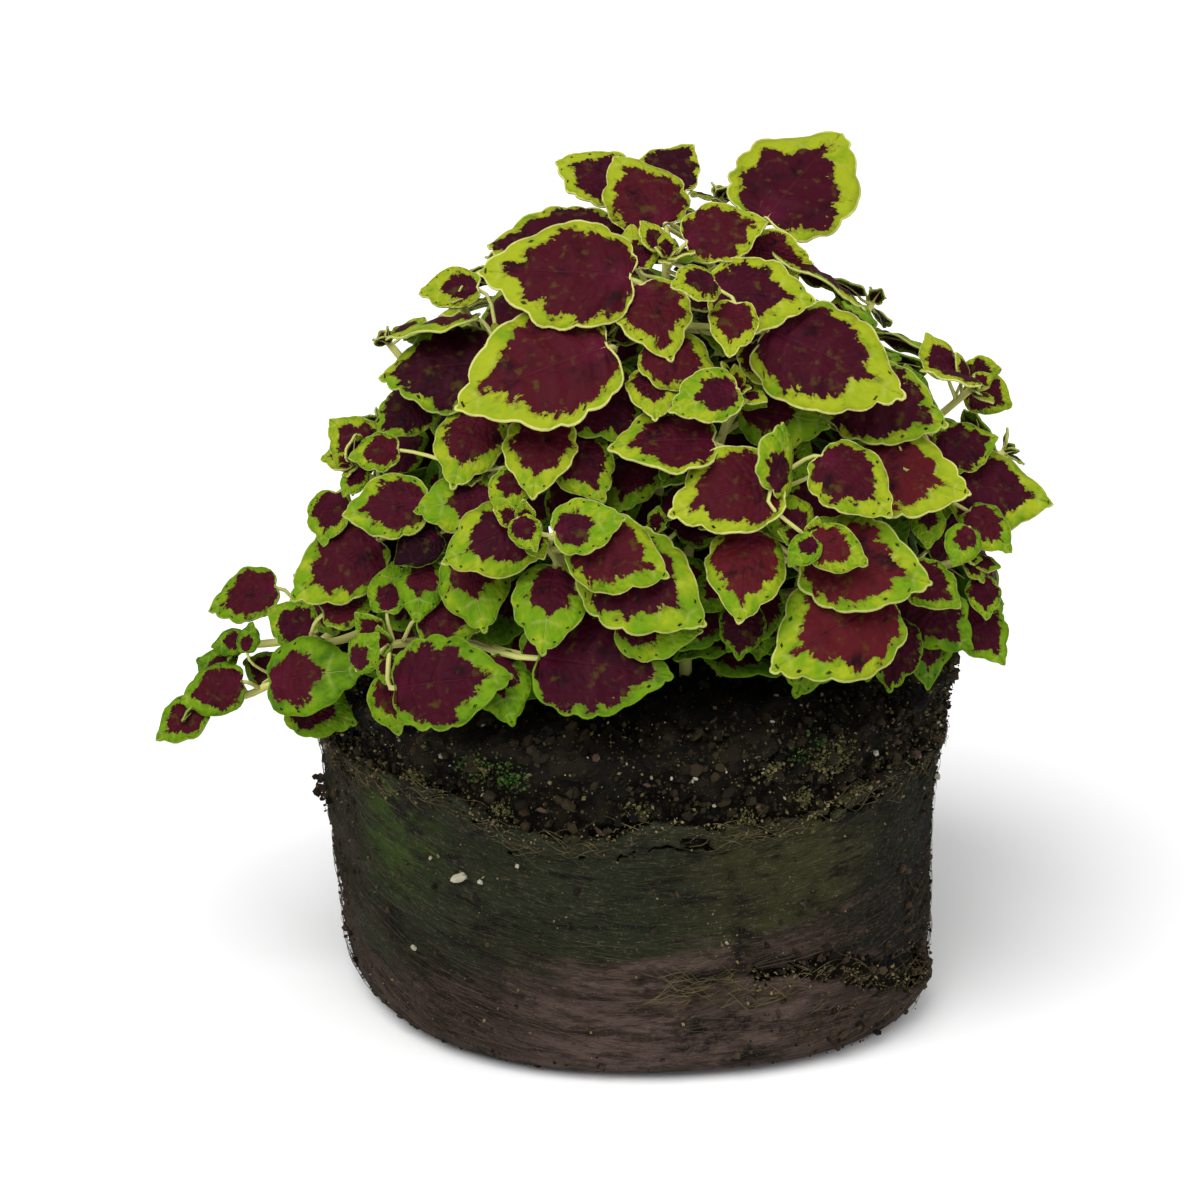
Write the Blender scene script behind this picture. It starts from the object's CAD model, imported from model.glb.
"""The looks of a small-leaved coleus on its bare root ball.

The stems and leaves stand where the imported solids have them: the same rule places them here. Each
leaf is then modelled finely, with its scalloped edge, its quilted surface and its dark heart, and
the root ball gets its crumbly potting mix and its felt of fine roots.
"""

import logging
import math
import random
from dataclasses import dataclass, field
from enum import Enum
from functools import cached_property

import bmesh
import bpy
import numpy as np
from mathutils import Matrix, Vector, noise
from mathutils.bvhtree import BVHTree


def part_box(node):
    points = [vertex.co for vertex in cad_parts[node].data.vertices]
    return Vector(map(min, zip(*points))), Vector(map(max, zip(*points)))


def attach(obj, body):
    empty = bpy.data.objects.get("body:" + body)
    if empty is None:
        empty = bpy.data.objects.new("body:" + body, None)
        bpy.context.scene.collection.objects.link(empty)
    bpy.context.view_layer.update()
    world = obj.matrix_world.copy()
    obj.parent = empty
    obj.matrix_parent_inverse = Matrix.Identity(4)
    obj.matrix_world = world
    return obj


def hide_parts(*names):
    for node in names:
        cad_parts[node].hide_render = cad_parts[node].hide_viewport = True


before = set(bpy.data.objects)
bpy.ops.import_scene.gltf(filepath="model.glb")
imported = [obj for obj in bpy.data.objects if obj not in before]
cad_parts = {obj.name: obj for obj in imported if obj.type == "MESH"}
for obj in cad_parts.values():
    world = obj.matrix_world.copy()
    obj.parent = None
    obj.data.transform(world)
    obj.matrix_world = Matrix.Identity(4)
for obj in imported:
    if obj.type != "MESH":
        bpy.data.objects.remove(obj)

MM = 0.001
UP = Vector((0, 0, 1))
LOG = logging.getLogger("coleus")

# Each front stem: where the picture shows its tip, how many millimetres it stands out of the
# canopy there, or into it where that is below zero, and the length of the two small leaves at its
# tip, or 0 where larger leaves hide it
FRONT_TIPS = [
    (666, 258, 0, 7), (736, 392, -3, 6), (972, 388, -2, 6), (458, 298, -4, 0), (352, 466, -1, 7),
    (240, 646, -1, 6), (196, 708, -1, 0), (388, 645, -4, 7), (527, 527, 1, 6), (812, 543, 1, 6),
    (966, 560, -2, 6), (655, 530, -9, 0), (655, 385, -9, 0), (476, 470, -9, 0), (835, 320, -9, 0),
    (555, 610, -9, 0), (900, 455, -8, 0), (865, 585, -10, 0), (420, 562, -8, 0), (735, 232, -10, 0),
    (606, 335, -10, 0), (775, 478, -9, 0), (300, 645, -5, 0), (745, 560, -12, 0), (500, 350, -10, 0),
]

# Each leaf that the picture shows: the middle of its blade there, the way its tip points there in
# degrees anticlockwise from the right, its seen length in millimetres, how many millimetres it
# stands out of the canopy, and how many degrees it is rolled about its own midrib
SEEN_LEAVES = [
    # round the crown
    (807, 167, 50, 30, 3, 0), (639, 185, 125, 21, 4, 0), (591, 172, 155, 19, -3, 0),
    (728, 228, 15, 20, 6, 0), (553, 270, 178, 36, 6, 0), (765, 293, -5, 25, 5, 0),
    (672, 165, 50, 16, -8, 0), (635, 244, 100, 11, 1, 0), (690, 290, 205, 13, 3, 0),
    (657, 320, 290, 20, 1, 0), (780, 258, -10, 16, -2, 35), (553, 243, 176, 32, -5, 0),
    (822, 272, -35, 27, -6, -58), (447, 288, 185, 14, 0, 0), (430, 322, 195, 22, -2, 50),
    # the shoulders
    (530, 373, 203, 39, 6, 0), (437, 366, 187, 29, -1, 0), (838, 360, -27, 36, 6, 0),
    (892, 402, -20, 29, -3, 0), (683, 362, -30, 19, 0, 0), (733, 328, 262, 13, 0, 0),
    (703, 398, 200, 17, 2, 0), (770, 368, 300, 15, -3, 0), (604, 403, -45, 24, -3, 0),
    (655, 398, 270, 15, -9, 0), (750, 397, -40, 9, 1, 0), (788, 415, -12, 21, -9, 0),
    (782, 455, 82, 17, -3, 70), (402, 412, 225, 17, -7, 0),
    # the tip out at the right
    (938, 352, 120, 12, 2, 30), (950, 372, 170, 14, -2, 50), (992, 398, -30, 13, 2, 40),
    (985, 372, 5, 9, 0, 50),
    # the middle band
    (660, 440, 185, 25, 0, 20), (722, 494, 200, 27, 3, 0), (538, 456, 262, 20, -2, 0),
    (466, 448, 250, 20, -3, 0), (585, 468, 300, 18, -5, 0), (507, 493, 248, 12, 6, 0),
    (452, 502, 190, 19, -4, 0), (590, 524, 12, 17, 3, 0), (487, 540, 205, 24, 3, 0),
    (475, 590, 283, 20, -3, 0), (527, 534, 300, 9, 5, 0), (622, 556, -22, 24, 3, 0),
    (650, 588, -32, 31, -3, 0), (745, 576, 262, 22, 3, 0), (785, 512, 135, 14, 4, 0),
    (840, 550, -25, 15, 6, 0), (802, 552, 225, 9, 5, 0), (824, 530, 45, 9, 4, 0),
    (858, 484, -42, 22, 4, 0), (915, 476, -15, 28, -3, 0), (870, 570, -15, 30, -1, 0),
    (1005, 490, -12, 25, 1, 0), (970, 443, 15, 15, -3, 0),
    # the right edge
    (992, 530, -45, 14, 5, 0), (962, 546, 245, 10, 3, 0), (928, 527, 268, 10, -5, 0),
    (936, 588, -35, 15, -1, 0), (985, 598, 275, 10, 4, 0), (985, 634, -55, 17, 2, 0),
    (938, 622, -42, 21, -4, 45),
    # along the foot of the canopy, left to right
    (178, 722, 215, 14, 2, 0), (208, 690, 198, 16, 3, 0), (212, 664, 165, 9, -2, 0),
    (226, 642, 195, 8, 2, 0), (248, 636, 80, 7, 1, 0), (240, 597, 200, 17, -1, 0),
    (286, 618, 150, 13, 3, 0), (260, 667, 160, 10, 1, 0), (316, 674, 8, 23, 3, 0),
    (322, 710, -20, 17, -4, 0), (371, 650, 40, 11, 9, 0), (393, 705, 280, 14, -4, 0),
    (453, 680, 6, 28, 4, 0), (503, 690, 285, 17, -4, 0), (548, 610, 262, 21, 1, 0),
    (564, 659, -8, 20, 2, 0), (606, 665, -8, 32, -2, 0), (660, 627, -4, 20, -5, 0),
    (742, 632, 262, 13, -6, 0), (830, 632, 212, 33, 3, 0), (893, 655, 265, 17, -4, 0),
    # the left flank
    (350, 436, 140, 14, -2, 0), (372, 452, 190, 12, 3, 0), (338, 456, 185, 9, 1, 0),
    (352, 482, 235, 8, 2, 0), (382, 507, 188, 20, 2, 0), (328, 518, 258, 13, -1, 0),
    (332, 568, 215, 25, 2, 0), (352, 600, 20, 15, -4, 0), (390, 585, 80, 12, -5, 0),
    (420, 592, 262, 14, -5, 0), (455, 618, -5, 17, -5, 0), (415, 548, 215, 13, -2, 0),
]

# The outline of the foliage in the picture, and of the root ball under it, which no leaf that the
# picture doesn't show may pass
OUTLINE = [
    (325, 740), (290, 720), (255, 700), (195, 738), (153, 744), (160, 705), (205, 655), (210, 590),
    (240, 562), (285, 580), (290, 545), (318, 528), (310, 500), (345, 485), (322, 455), (335, 420),
    (384, 410), (386, 350), (380, 325), (425, 312), (420, 285), (430, 272), (475, 265), (482, 235),
    (520, 210), (600, 205), (560, 168), (575, 147), (690, 155), (692, 192), (745, 200), (742, 150),
    (780, 128), (860, 130), (864, 175), (795, 232), (868, 295), (905, 345), (930, 332), (1000, 385),
    (995, 410), (958, 420), (1000, 440), (1046, 470), (1044, 510), (1020, 535), (1005, 590),
    (1008, 662), (960, 655), (948, 700), (920, 1000), (620, 1100), (340, 950),
]

# The stems that the picture doesn't show: how far round the canopy, anticlockwise from the right
# of the picture, and how far up it, in degrees
HIDDEN_TIPS = [
    (8, 22), (30, 3), (40, 42), (64, 20), (90, 48), (84, 4), (112, 22), (136, 50), (128, 4),
    (150, 22), (172, 40), (60, 74), (168, 2),
]
# The pairs down each of those stems: millimetres below its tip, and the length of their leaves
HIDDEN_PAIRS = [(1, 9), (8, 18), (18, 26), (30, 32)]
INNER_PAIRS = [(16, 18)]


class LeafKind(Enum):
    """The looks that a leaf can have: the width of its green margin as a share of its length, how
    dark its heart is, and what is added to the sun on it."""

    TYPICAL = (0.08, 0.0, 0.0)
    DARK = (0.045, 0.45, -0.2)
    GREEN = (0.15, 0.1, -0.12)
    RUDDY = (0.085, -0.6, 0.1)
    WITHERED = (-0.2, 1.0, -0.5)

    @property
    def margin(self) -> float:
        """How wide the green margin is at the blade's sides, as a share of its length."""
        return self.value[0]

    @property
    def dark(self) -> float:
        """How far the heart turns from burgundy to black, or to red where below zero."""
        return self.value[1]

    @property
    def sun(self) -> float:
        """What the kind adds to the leaf's share of sun."""
        return self.value[2]


# The kinds of the leaves that the picture shows, by the middle of each
SEEN_KINDS = {
    LeafKind.DARK: [
        (553, 243), (437, 366), (892, 402), (606, 665), (970, 443), (822, 272), (672, 165),
        (742, 632), (893, 655), (938, 622), (402, 412), (604, 403),
    ],
    LeafKind.GREEN: [
        (782, 455), (475, 590), (452, 502), (564, 659), (660, 627), (503, 690), (390, 585),
        (420, 592), (928, 527), (447, 288), (430, 322), (635, 244), (703, 398), (750, 397),
        (788, 415), (371, 650), (248, 636), (507, 493), (590, 524), (785, 512), (824, 530),
        (802, 552), (962, 546), (226, 642), (212, 664), (316, 674), (548, 610),
    ],
    LeafKind.RUDDY: [(870, 570), (840, 550), (745, 576), (915, 476), (830, 632)],
    LeafKind.WITHERED: [(415, 548)],
}


@dataclass
class Stem:
    """One stem.

    Args:
        points: The points along it, from its foot in the soil to its tip.
        aim: The way its tip points.
    """

    points: list[Vector]
    aim: Vector


@dataclass
class Leaf:
    """One leaf.

    Args:
        foot: The foot of its blade.
        along: The way its midrib starts out from there.
        face: The way its upper face points there.
        length: The blade's length.
        stem: The number of the stem that it grows from.
        root: Where its petiole leaves that stem.
        kind: Its looks.
    """

    foot: Vector
    along: Vector
    face: Vector
    length: float
    stem: int = -1
    root: Vector | None = None
    kind: LeafKind = LeafKind.TYPICAL


@dataclass(frozen=True)
class Picture:
    """The picture's view: it looks down on the front, and one unit is one of its 1200."""

    unit: float = 0.234 * MM
    middle: tuple[float, float] = (600, 600)
    foot: tuple[float, float] = (632, 956)
    size: int = 1200
    tilt: float = math.radians(19)
    distance: float = 0.9

    @cached_property
    def across(self) -> Vector:
        """The way to the picture's right."""
        return Vector((1, 0, 0))

    @cached_property
    def upward(self) -> Vector:
        """The way up the picture."""
        return Vector((0, math.sin(self.tilt), math.cos(self.tilt)))

    @cached_property
    def to_eye(self) -> Vector:
        """The way out of the picture."""
        return Vector((0, -math.cos(self.tilt), math.sin(self.tilt)))

    @cached_property
    def eye(self) -> Vector:
        """Where the picture is seen from."""
        return self.point(*self.middle) + self.to_eye * self.distance

    def point(self, across: float, down: float) -> Vector:
        """The point at this place of the picture, on the plane through the root ball's axis."""
        x = (across - self.foot[0]) * self.unit
        y = (self.foot[1] - down) * self.unit
        return self.across * x + self.upward * y

    def place_of(self, point: Vector) -> tuple[float, float]:
        """The place of a point in the picture."""
        share = 1 - self.to_eye.dot(point) / self.distance
        across = (self.across.dot(point) - self.across.dot(self.eye) * (1 - share)) / share
        upward = (self.upward.dot(point) - self.upward.dot(self.eye) * (1 - share)) / share
        return self.foot[0] + across / self.unit, self.foot[1] - upward / self.unit

    def shows_inside(self, point: Vector, outline: list[tuple[int, int]]) -> bool:
        """Whether the picture would show a point inside an outline.

        Args:
            point: The point, in the object's frame.
            outline: The outline's corners, as places of the picture.

        Returns:
            True where the point's place lies inside.
        """
        across, down = self.place_of(point)
        inside = False
        for (x1, y1), (x2, y2) in zip(outline, outline[1:] + outline[:1]):
            if (y1 > down) != (y2 > down) and across < x1 + (x2 - x1) * (down - y1) / (y2 - y1):
                inside = not inside
        return inside

    def camera(self) -> bpy.types.Object:
        """A camera with this view."""
        data = bpy.data.cameras.new("camera")
        data.sensor_width = 36
        data.lens = data.sensor_width * self.distance / (self.size * self.unit)
        data.clip_start, data.clip_end = 0.05, 30
        camera = bpy.data.objects.new("camera", data)
        bpy.context.scene.collection.objects.link(camera)
        camera.location = self.eye
        camera.rotation_euler = (math.pi / 2 - self.tilt, 0, 0)
        return camera


@dataclass(frozen=True)
class Canopy:
    """The dome that the tips of the leaves make."""

    picture: Picture
    centre: Vector = field(default_factory=lambda: Vector((8, 0, 84)) * MM)
    radii: Vector = field(default_factory=lambda: Vector((92, 78, 108)) * MM)

    def normal(self, point: Vector) -> Vector:
        """The way out of the dome at this point."""
        off = point - self.centre
        return Vector(off[i] / self.radii[i] ** 2 for i in range(3)).normalized()

    def share(self, point: Vector) -> float:
        """How far out this point is: 1 on the dome, 0 at its centre."""
        off = point - self.centre
        return math.sqrt(sum((off[i] / self.radii[i]) ** 2 for i in range(3)))

    def meet(self, across: float, down: float, proud: float) -> Vector:
        """Where the line of sight at a place of the picture meets the dome.

        Args:
            across: The place, from the picture's left.
            down: The place, from the picture's top.
            proud: How far the point is then moved towards the eye.

        Returns:
            The point, or the one that passes nearest to the dome.
        """
        start = self.picture.point(across, down)
        line = (self.picture.eye - start).normalized()
        off = start - self.centre
        a = sum((line[i] / self.radii[i]) ** 2 for i in range(3))
        b = sum(line[i] * off[i] / self.radii[i] ** 2 for i in range(3))
        c = sum((off[i] / self.radii[i]) ** 2 for i in range(3)) - 1
        reach = (-b + math.sqrt(max(b * b - a * c, 0))) / a
        return start + line * (reach + proud)


# Work on meshes

def evaluated(obj: bpy.types.Object) -> bpy.types.Mesh:
    """The mesh that an object's modifiers show. The object is removed."""
    bpy.context.scene.collection.objects.link(obj)
    bpy.context.view_layer.update()
    graph = bpy.context.evaluated_depsgraph_get()
    made = bpy.data.meshes.new_from_object(obj.evaluated_get(graph), preserve_all_data_layers=True,
                                           depsgraph=graph)
    old = obj.data
    bpy.data.objects.remove(obj)
    if isinstance(old, bpy.types.Mesh) and old.users == 0:
        bpy.data.meshes.remove(old)
    return made


def copies(template: bpy.types.Mesh, count: int) -> bpy.types.Mesh:
    """Copies of a mesh, one after the other, in a new mesh."""
    obj = bpy.data.objects.new("copies", template.copy())
    array = obj.modifiers.new("copies", "ARRAY")
    array.count = count
    array.use_relative_offset = False
    return evaluated(obj)


def points_of(mesh: bpy.types.Mesh) -> np.ndarray:
    """The places of a mesh's vertices, one row each."""
    places = np.zeros(len(mesh.vertices) * 3, np.float32)
    mesh.vertices.foreach_get("co", places)
    return places.reshape(-1, 3).astype(float)


def put(mesh: bpy.types.Mesh, points: np.ndarray) -> None:
    """Moves a mesh's vertices to these points."""
    mesh.vertices.foreach_set("co", points.astype(np.float32).ravel())
    mesh.update()


def paint(mesh: bpy.types.Mesh, name: str, values: np.ndarray) -> None:
    """Gives each vertex a colour attribute of this name, from rows of four numbers."""
    layer = mesh.attributes.new(name, "FLOAT_COLOR", "POINT")
    layer.data.foreach_set("color", values.astype(np.float32).ravel())


def joined(name: str, meshes: list[bpy.types.Mesh], weld: float = 0.0) -> bpy.types.Object:
    """An object of several meshes in one, smooth shaded.

    Args:
        name: The object's name.
        meshes: The meshes, which are removed.
        weld: The distance within which vertices are merged first, or 0.

    Returns:
        The object, linked to the scene.
    """
    work = bmesh.new()
    for mesh in meshes:
        work.from_mesh(mesh)
    if weld:
        bmesh.ops.remove_doubles(work, verts=work.verts, dist=weld)
    made = bpy.data.meshes.new(name)
    work.to_mesh(made)
    work.free()
    for mesh in meshes:
        bpy.data.meshes.remove(mesh)
    made.shade_smooth()
    obj = bpy.data.objects.new(name, made)
    bpy.context.scene.collection.objects.link(obj)
    return obj


def tube_template(sides: int, steps: int) -> bpy.types.Mesh:
    """A closed tube of radius 1 along Z, from -1 to 1, in this many steps."""
    work = bmesh.new()
    bmesh.ops.create_cone(work, cap_ends=True, segments=sides, radius1=1, radius2=1, depth=2,
                          calc_uvs=True)
    work.loops.layers.uv.new("blade")
    rising = [edge for edge in work.edges if abs(edge.verts[0].co.z - edge.verts[1].co.z) > 1]
    bmesh.ops.subdivide_edges(work, edges=rising, cuts=steps - 1, use_grid_fill=True)
    mesh = bpy.data.meshes.new("tube")
    work.to_mesh(mesh)
    work.free()
    return mesh


def grid_template(along: int, across: int) -> bpy.types.Mesh:
    """A flat grid from -1 to 1 both ways, whose UV map "blade" is its own two ways."""
    work = bmesh.new()
    work.loops.layers.uv.new("blade")
    bmesh.ops.create_grid(work, x_segments=along, y_segments=across, size=1, calc_uvs=True)
    mesh = bpy.data.meshes.new("grid")
    work.to_mesh(mesh)
    work.free()
    return mesh


def bead_template(finer: int) -> bpy.types.Mesh:
    """A ball of radius 1: with 8 faces where finer is 0, with 20 where it is 1, then with 80."""
    work = bmesh.new()
    if finer:
        bmesh.ops.create_icosphere(work, subdivisions=finer, radius=1)
    else:
        bmesh.ops.create_uvsphere(work, u_segments=4, v_segments=2, radius=1)
    mesh = bpy.data.meshes.new("bead")
    work.to_mesh(mesh)
    work.free()
    return mesh


def spun(profile: list[tuple[float, float]], steps: int) -> bpy.types.Mesh:
    """The mesh that a profile of radius and height points makes when it is spun about Z."""
    work = bmesh.new()
    verts = [work.verts.new((radius, 0, height)) for radius, height in profile]
    edges = [work.edges.new(pair) for pair in zip(verts, verts[1:])]
    bmesh.ops.spin(work, geom=verts + edges, cent=(0, 0, 0), axis=(0, 0, 1), dvec=(0, 0, 0),
                   angle=2 * math.pi, steps=steps, use_merge=True, use_duplicate=False)
    bmesh.ops.remove_doubles(work, verts=work.verts, dist=0.01 * MM)
    bmesh.ops.recalc_face_normals(work, faces=work.faces)
    mesh = bpy.data.meshes.new("spun")
    work.to_mesh(mesh)
    work.free()
    return mesh


def roughness_of(points: np.ndarray, stretch: tuple[float, float, float], octaves: int) -> np.ndarray:
    """Fractal noise at each point, about -1 to 1.

    Args:
        points: The points, one row each.
        stretch: What each of their three places is multiplied by first.
        octaves: How many finer layers the noise has.

    Returns:
        One value for each point.
    """
    scaled = points * np.array(stretch)
    return np.array([noise.fractal(Vector(point), 0.9, 2.1, octaves) for point in scaled])


def along_path(points: np.ndarray, share: np.ndarray) -> np.ndarray:
    """Points on the smooth curve through a path's own points.

    Args:
        points: The path's points, one row each.
        share: How far along the path each wanted point is, from 0 to 1.

    Returns:
        One row for each wanted point.
    """
    padded = np.vstack([2 * points[0] - points[1], points, 2 * points[-1] - points[-2]])
    place = np.clip(share, 0, 1) * (len(points) - 1)
    index = np.minimum(place.astype(int), len(points) - 2)
    t = (place - index)[:, None]
    a, b, c, d = (padded[index + k] for k in range(4))
    return 0.5 * (2 * b + (c - a) * t + (2 * a - 5 * b + 4 * c - d) * t ** 2
                  + (3 * b - a - 3 * c + d) * t ** 3)


def sweep(template: np.ndarray, path: np.ndarray, side: np.ndarray, radius: np.ndarray,
          flat: float = 1.0) -> np.ndarray:
    """A tube template laid along a path.

    Args:
        template: The template's points: a circle of radius 1 in X and Y, along Z from -1 to 1.
        path: The path's points, one for each ring of the template.
        side: The way that the template's X points, roughly.
        radius: The tube's radius at each of the path's points.
        flat: How deep the tube is, as a share of its width.

    Returns:
        The tube's points.
    """
    run = np.gradient(path, axis=0)
    run /= np.linalg.norm(run, axis=1, keepdims=True)
    out = side - run * (run @ side)[:, None]
    out /= np.linalg.norm(out, axis=1, keepdims=True)
    other = np.cross(run, out)
    ring = np.rint((template[:, 2] + 1) / 2 * (len(path) - 1)).astype(int)
    wide, deep = template[:, 0:1], template[:, 1:2] * flat
    return path[ring] + (out[ring] * wide + other[ring] * deep) * radius[ring][:, None]


# The plant

@dataclass(frozen=True)
class BladeForm:
    """The form that every blade has, before its fine detail: broad, drooping to its tip and
    sagging to its edges. The clearances between the leaves are judged by this form."""

    thickness: float = 0.8 * MM
    width_share: float = 0.8
    widest_at: float = 0.4
    swell: float = 0.55
    droop: float = 0.5
    sag: float = 0.22
    notch: float = 0.14
    petiole_width: float = 1.5 * MM
    petiole_root: float = 0.7 * MM

    def half_width(self, length: float, share: float | np.ndarray) -> float | np.ndarray:
        """Half the width at this share of a blade of this length."""
        a = self.swell
        b = a * (1 - self.widest_at) / self.widest_at
        peak = self.widest_at ** a * (1 - self.widest_at) ** b
        return 0.5 * self.width_share * length * share ** a * (1 - share) ** b / peak

    def point(self, leaf: Leaf, share: float, side: float) -> Vector:
        """The point of a blade at this share of its length and this side of its midrib."""
        bend = self.droop * share
        forward = leaf.length * math.sin(bend) / self.droop
        down = leaf.length * (1 - math.cos(bend)) / self.droop
        normal = leaf.face * math.cos(bend) + leaf.along * math.sin(bend)
        across = leaf.face.cross(leaf.along)
        half = self.half_width(leaf.length, share)
        drop = self.sag * abs(side) ** 2 * half
        return leaf.foot + leaf.along * forward - leaf.face * down + across * half * side - normal * drop

    def normal(self, leaf: Leaf, share: float, side: float) -> Vector:
        """The way the blade's upper face points there."""
        bend = self.droop * share
        normal = leaf.face * math.cos(bend) + leaf.along * math.sin(bend)
        return (normal + leaf.face.cross(leaf.along) * 2 * self.sag * side).normalized()

    def lobes(self, leaf: Leaf) -> int:
        """How many lobes one edge of the plain blade has."""
        for length, lobes in ((27 * MM, 3), (18 * MM, 2), (11 * MM, 1)):
            if leaf.length >= length:
                return lobes
        return 0

    def edge_places(self, lobes: int) -> list[tuple[float, float]]:
        """Share of the length and of the width for each point of one edge of the plain blade."""
        if lobes == 0:
            return [(0.2, 1), (0.65, 1.05)]
        if lobes == 1:
            return [(0.14, 1), (0.5, 1.05), (0.8, 1.05)]
        first, last = 0.38, 0.82
        places = [(0.12, 1)]
        for i in range(2 * lobes - 1):
            share = first + (last - first) * i / (2 * lobes - 2)
            places.append((share, 1 - self.notch if i % 2 else 1 + 0.3 * self.notch))
        return places

    def tree(self, leaf: Leaf, extra: float = 0.0, skip: float = 0.0) -> tuple[BVHTree, float]:
        """The search tree of the plain leaf, blade and petiole, and its lowest height.

        Args:
            leaf: The leaf.
            extra: How much it is grown all round.
            skip: How much of the petiole is left out at the stem.

        Returns:
            The tree, and the height of its lowest point.
        """
        points, normals, faces = [], [], []

        def add(point: Vector, normal: Vector) -> int:
            """Notes a point of the upper face and returns its number."""
            points.append(point + normal * (self.thickness / 2 + extra))
            normals.append(normal)
            return len(points) - 1

        across = leaf.face.cross(leaf.along)
        run = (leaf.foot - leaf.root).normalized()
        root = leaf.root + run * skip
        half = self.petiole_root / 2 + extra
        below = [add(root + across * half * side, run.cross(across).normalized()) for side in (-1, 1)]
        half = self.petiole_width / 2 + extra
        corners = [add(leaf.foot + across * half * side, leaf.face) for side in (-1, 1)]
        faces += [(below[0], below[1], corners[1]), (below[0], corners[1], corners[0])]
        lobes = self.lobes(leaf)
        tip = add(self.point(leaf, 1, 0), self.normal(leaf, 1, 0))
        shares = ((), (0.3,), (0.25, 0.6), (0.25, 0.6))[lobes]
        rib = [(share, add(self.point(leaf, share, 0), self.normal(leaf, share, 0))) for share in shares]
        edges = []
        for side in (-1, 1):
            edge = [(0, corners[side > 0])]
            for share, width in self.edge_places(lobes):
                place = side * (width + extra / max(self.half_width(leaf.length, share), MM))
                edge.append((share, add(self.point(leaf, share, place), self.normal(leaf, share, place))))
            edges.append(edge + [(1, tip)])
        if rib:
            faces.append((corners[0], corners[1], rib[0][1]))
            rib.append((1, tip))
            faces += zipped(edges[0], rib) + zipped(edges[1], rib)
        else:
            faces += zipped(edges[0], edges[1])
        depth = self.thickness + 2 * extra
        count = len(points)
        lower = [point - normal * depth for point, normal in zip(points, normals)]
        faces += [tuple(i + count for i in face) for face in faces]
        rim = [below[1]] + [i for _, i in edges[1]] + [i for _, i in reversed(edges[0][:-1])] + [below[0]]
        for i, j in zip(rim, rim[1:] + rim[:1]):
            faces += [(i, j + count, i + count), (i, j, j + count)]
        everything = points + lower
        return BVHTree.FromPolygons(everything, faces), min(point.z for point in everything)


def zipped(edge: list[tuple[float, int]], rib: list[tuple[float, int]]) -> list[tuple[int, int, int]]:
    """Triangles between two rows of shares and point numbers, both from foot to tip."""
    faces = []
    i = j = 0
    while i < len(edge) - 1 or j < len(rib) - 1:
        if j == len(rib) - 1 or (i < len(edge) - 1 and edge[i + 1][0] <= rib[j + 1][0]):
            face = (edge[i][1], rib[j][1], edge[i + 1][1])
            i += 1
        else:
            face = (edge[i][1], rib[j][1], rib[j + 1][1])
            j += 1
        if len(set(face)) == 3:
            faces.append(face)
    return faces


@dataclass(frozen=True)
class StemForm:
    """The sizes of the stems and how they rise from the soil."""

    hole_bottom: float = 75 * MM
    clear_of_hole: float = 0.3 * MM
    foot_radius: float = 1.7 * MM
    tip_radius: float = 1.15 * MM
    straight_to: float = 91 * MM
    bends: int = 5
    foot_share: float = 0.5
    foot_reach: float = 57 * MM
    foot_spacing: float = 7 * MM

    def rise(self, tip: Vector, feet: list[Vector], canopy: Canopy) -> Stem:
        """A stem up to tip from a foot under it, kept clear of the other feet.

        Args:
            tip: Where the stem ends.
            feet: The feet of the stems so far; this stem's foot is added.
            canopy: The dome that the stem grows out to.

        Returns:
            The stem.
        """
        flat = Vector((tip.x, tip.y, 0)) * self.foot_share
        if flat.length > self.foot_reach:
            flat = flat.normalized() * self.foot_reach
        for _ in range(40):
            near = [foot for foot in feet if (foot - flat).length < self.foot_spacing]
            if not near:
                break
            away = flat - near[0] if (flat - near[0]).length > 0.1 * MM else Vector((1, 0, 0))
            flat = near[0] + Matrix.Rotation(0.35, 3, "Z") @ (away.normalized() * self.foot_spacing * 1.01)
        feet.append(flat)
        foot = Vector((flat.x, flat.y, self.hole_bottom + self.clear_of_hole))
        bend = Vector((flat.x, flat.y, self.straight_to))
        aim = (canopy.normal(tip) + UP * 0.4).normalized()
        reach = (tip - bend).length
        points = [foot]
        b, c = bend + UP * 0.35 * reach, tip - aim * 0.35 * reach
        for i in range(self.bends):
            t = i / (self.bends - 1)
            rest = 1 - t
            points.append(bend * rest ** 3 + b * 3 * t * rest ** 2 + c * 3 * t ** 2 * rest + tip * t ** 3)
        return Stem(points, aim)

    def tree(self, stem: Stem, extra: float) -> BVHTree:
        """The search tree of the stem as a square tube, thicker by extra."""
        curve = bpy.data.curves.new("stem", "CURVE")
        curve.dimensions = "3D"
        curve.bevel_depth = 1
        curve.bevel_resolution = 0
        curve.use_fill_caps = True
        spline = curve.splines.new("POLY")
        last = len(stem.points) - 1
        spline.points.add(last)
        for i, point in enumerate(stem.points):
            spline.points[i].co = (*point, 1)
            spline.points[i].radius = self.foot_radius + (self.tip_radius - self.foot_radius) * i / last + extra
        mesh = evaluated(bpy.data.objects.new("stem", curve))
        bpy.data.curves.remove(curve)
        tree = tree_of(mesh)
        bpy.data.meshes.remove(mesh)
        return tree


def tree_of(mesh: bpy.types.Mesh) -> BVHTree:
    """The search tree of a mesh."""
    work = bmesh.new()
    work.from_mesh(mesh)
    tree = BVHTree.FromBMesh(work)
    work.free()
    return tree


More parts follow.
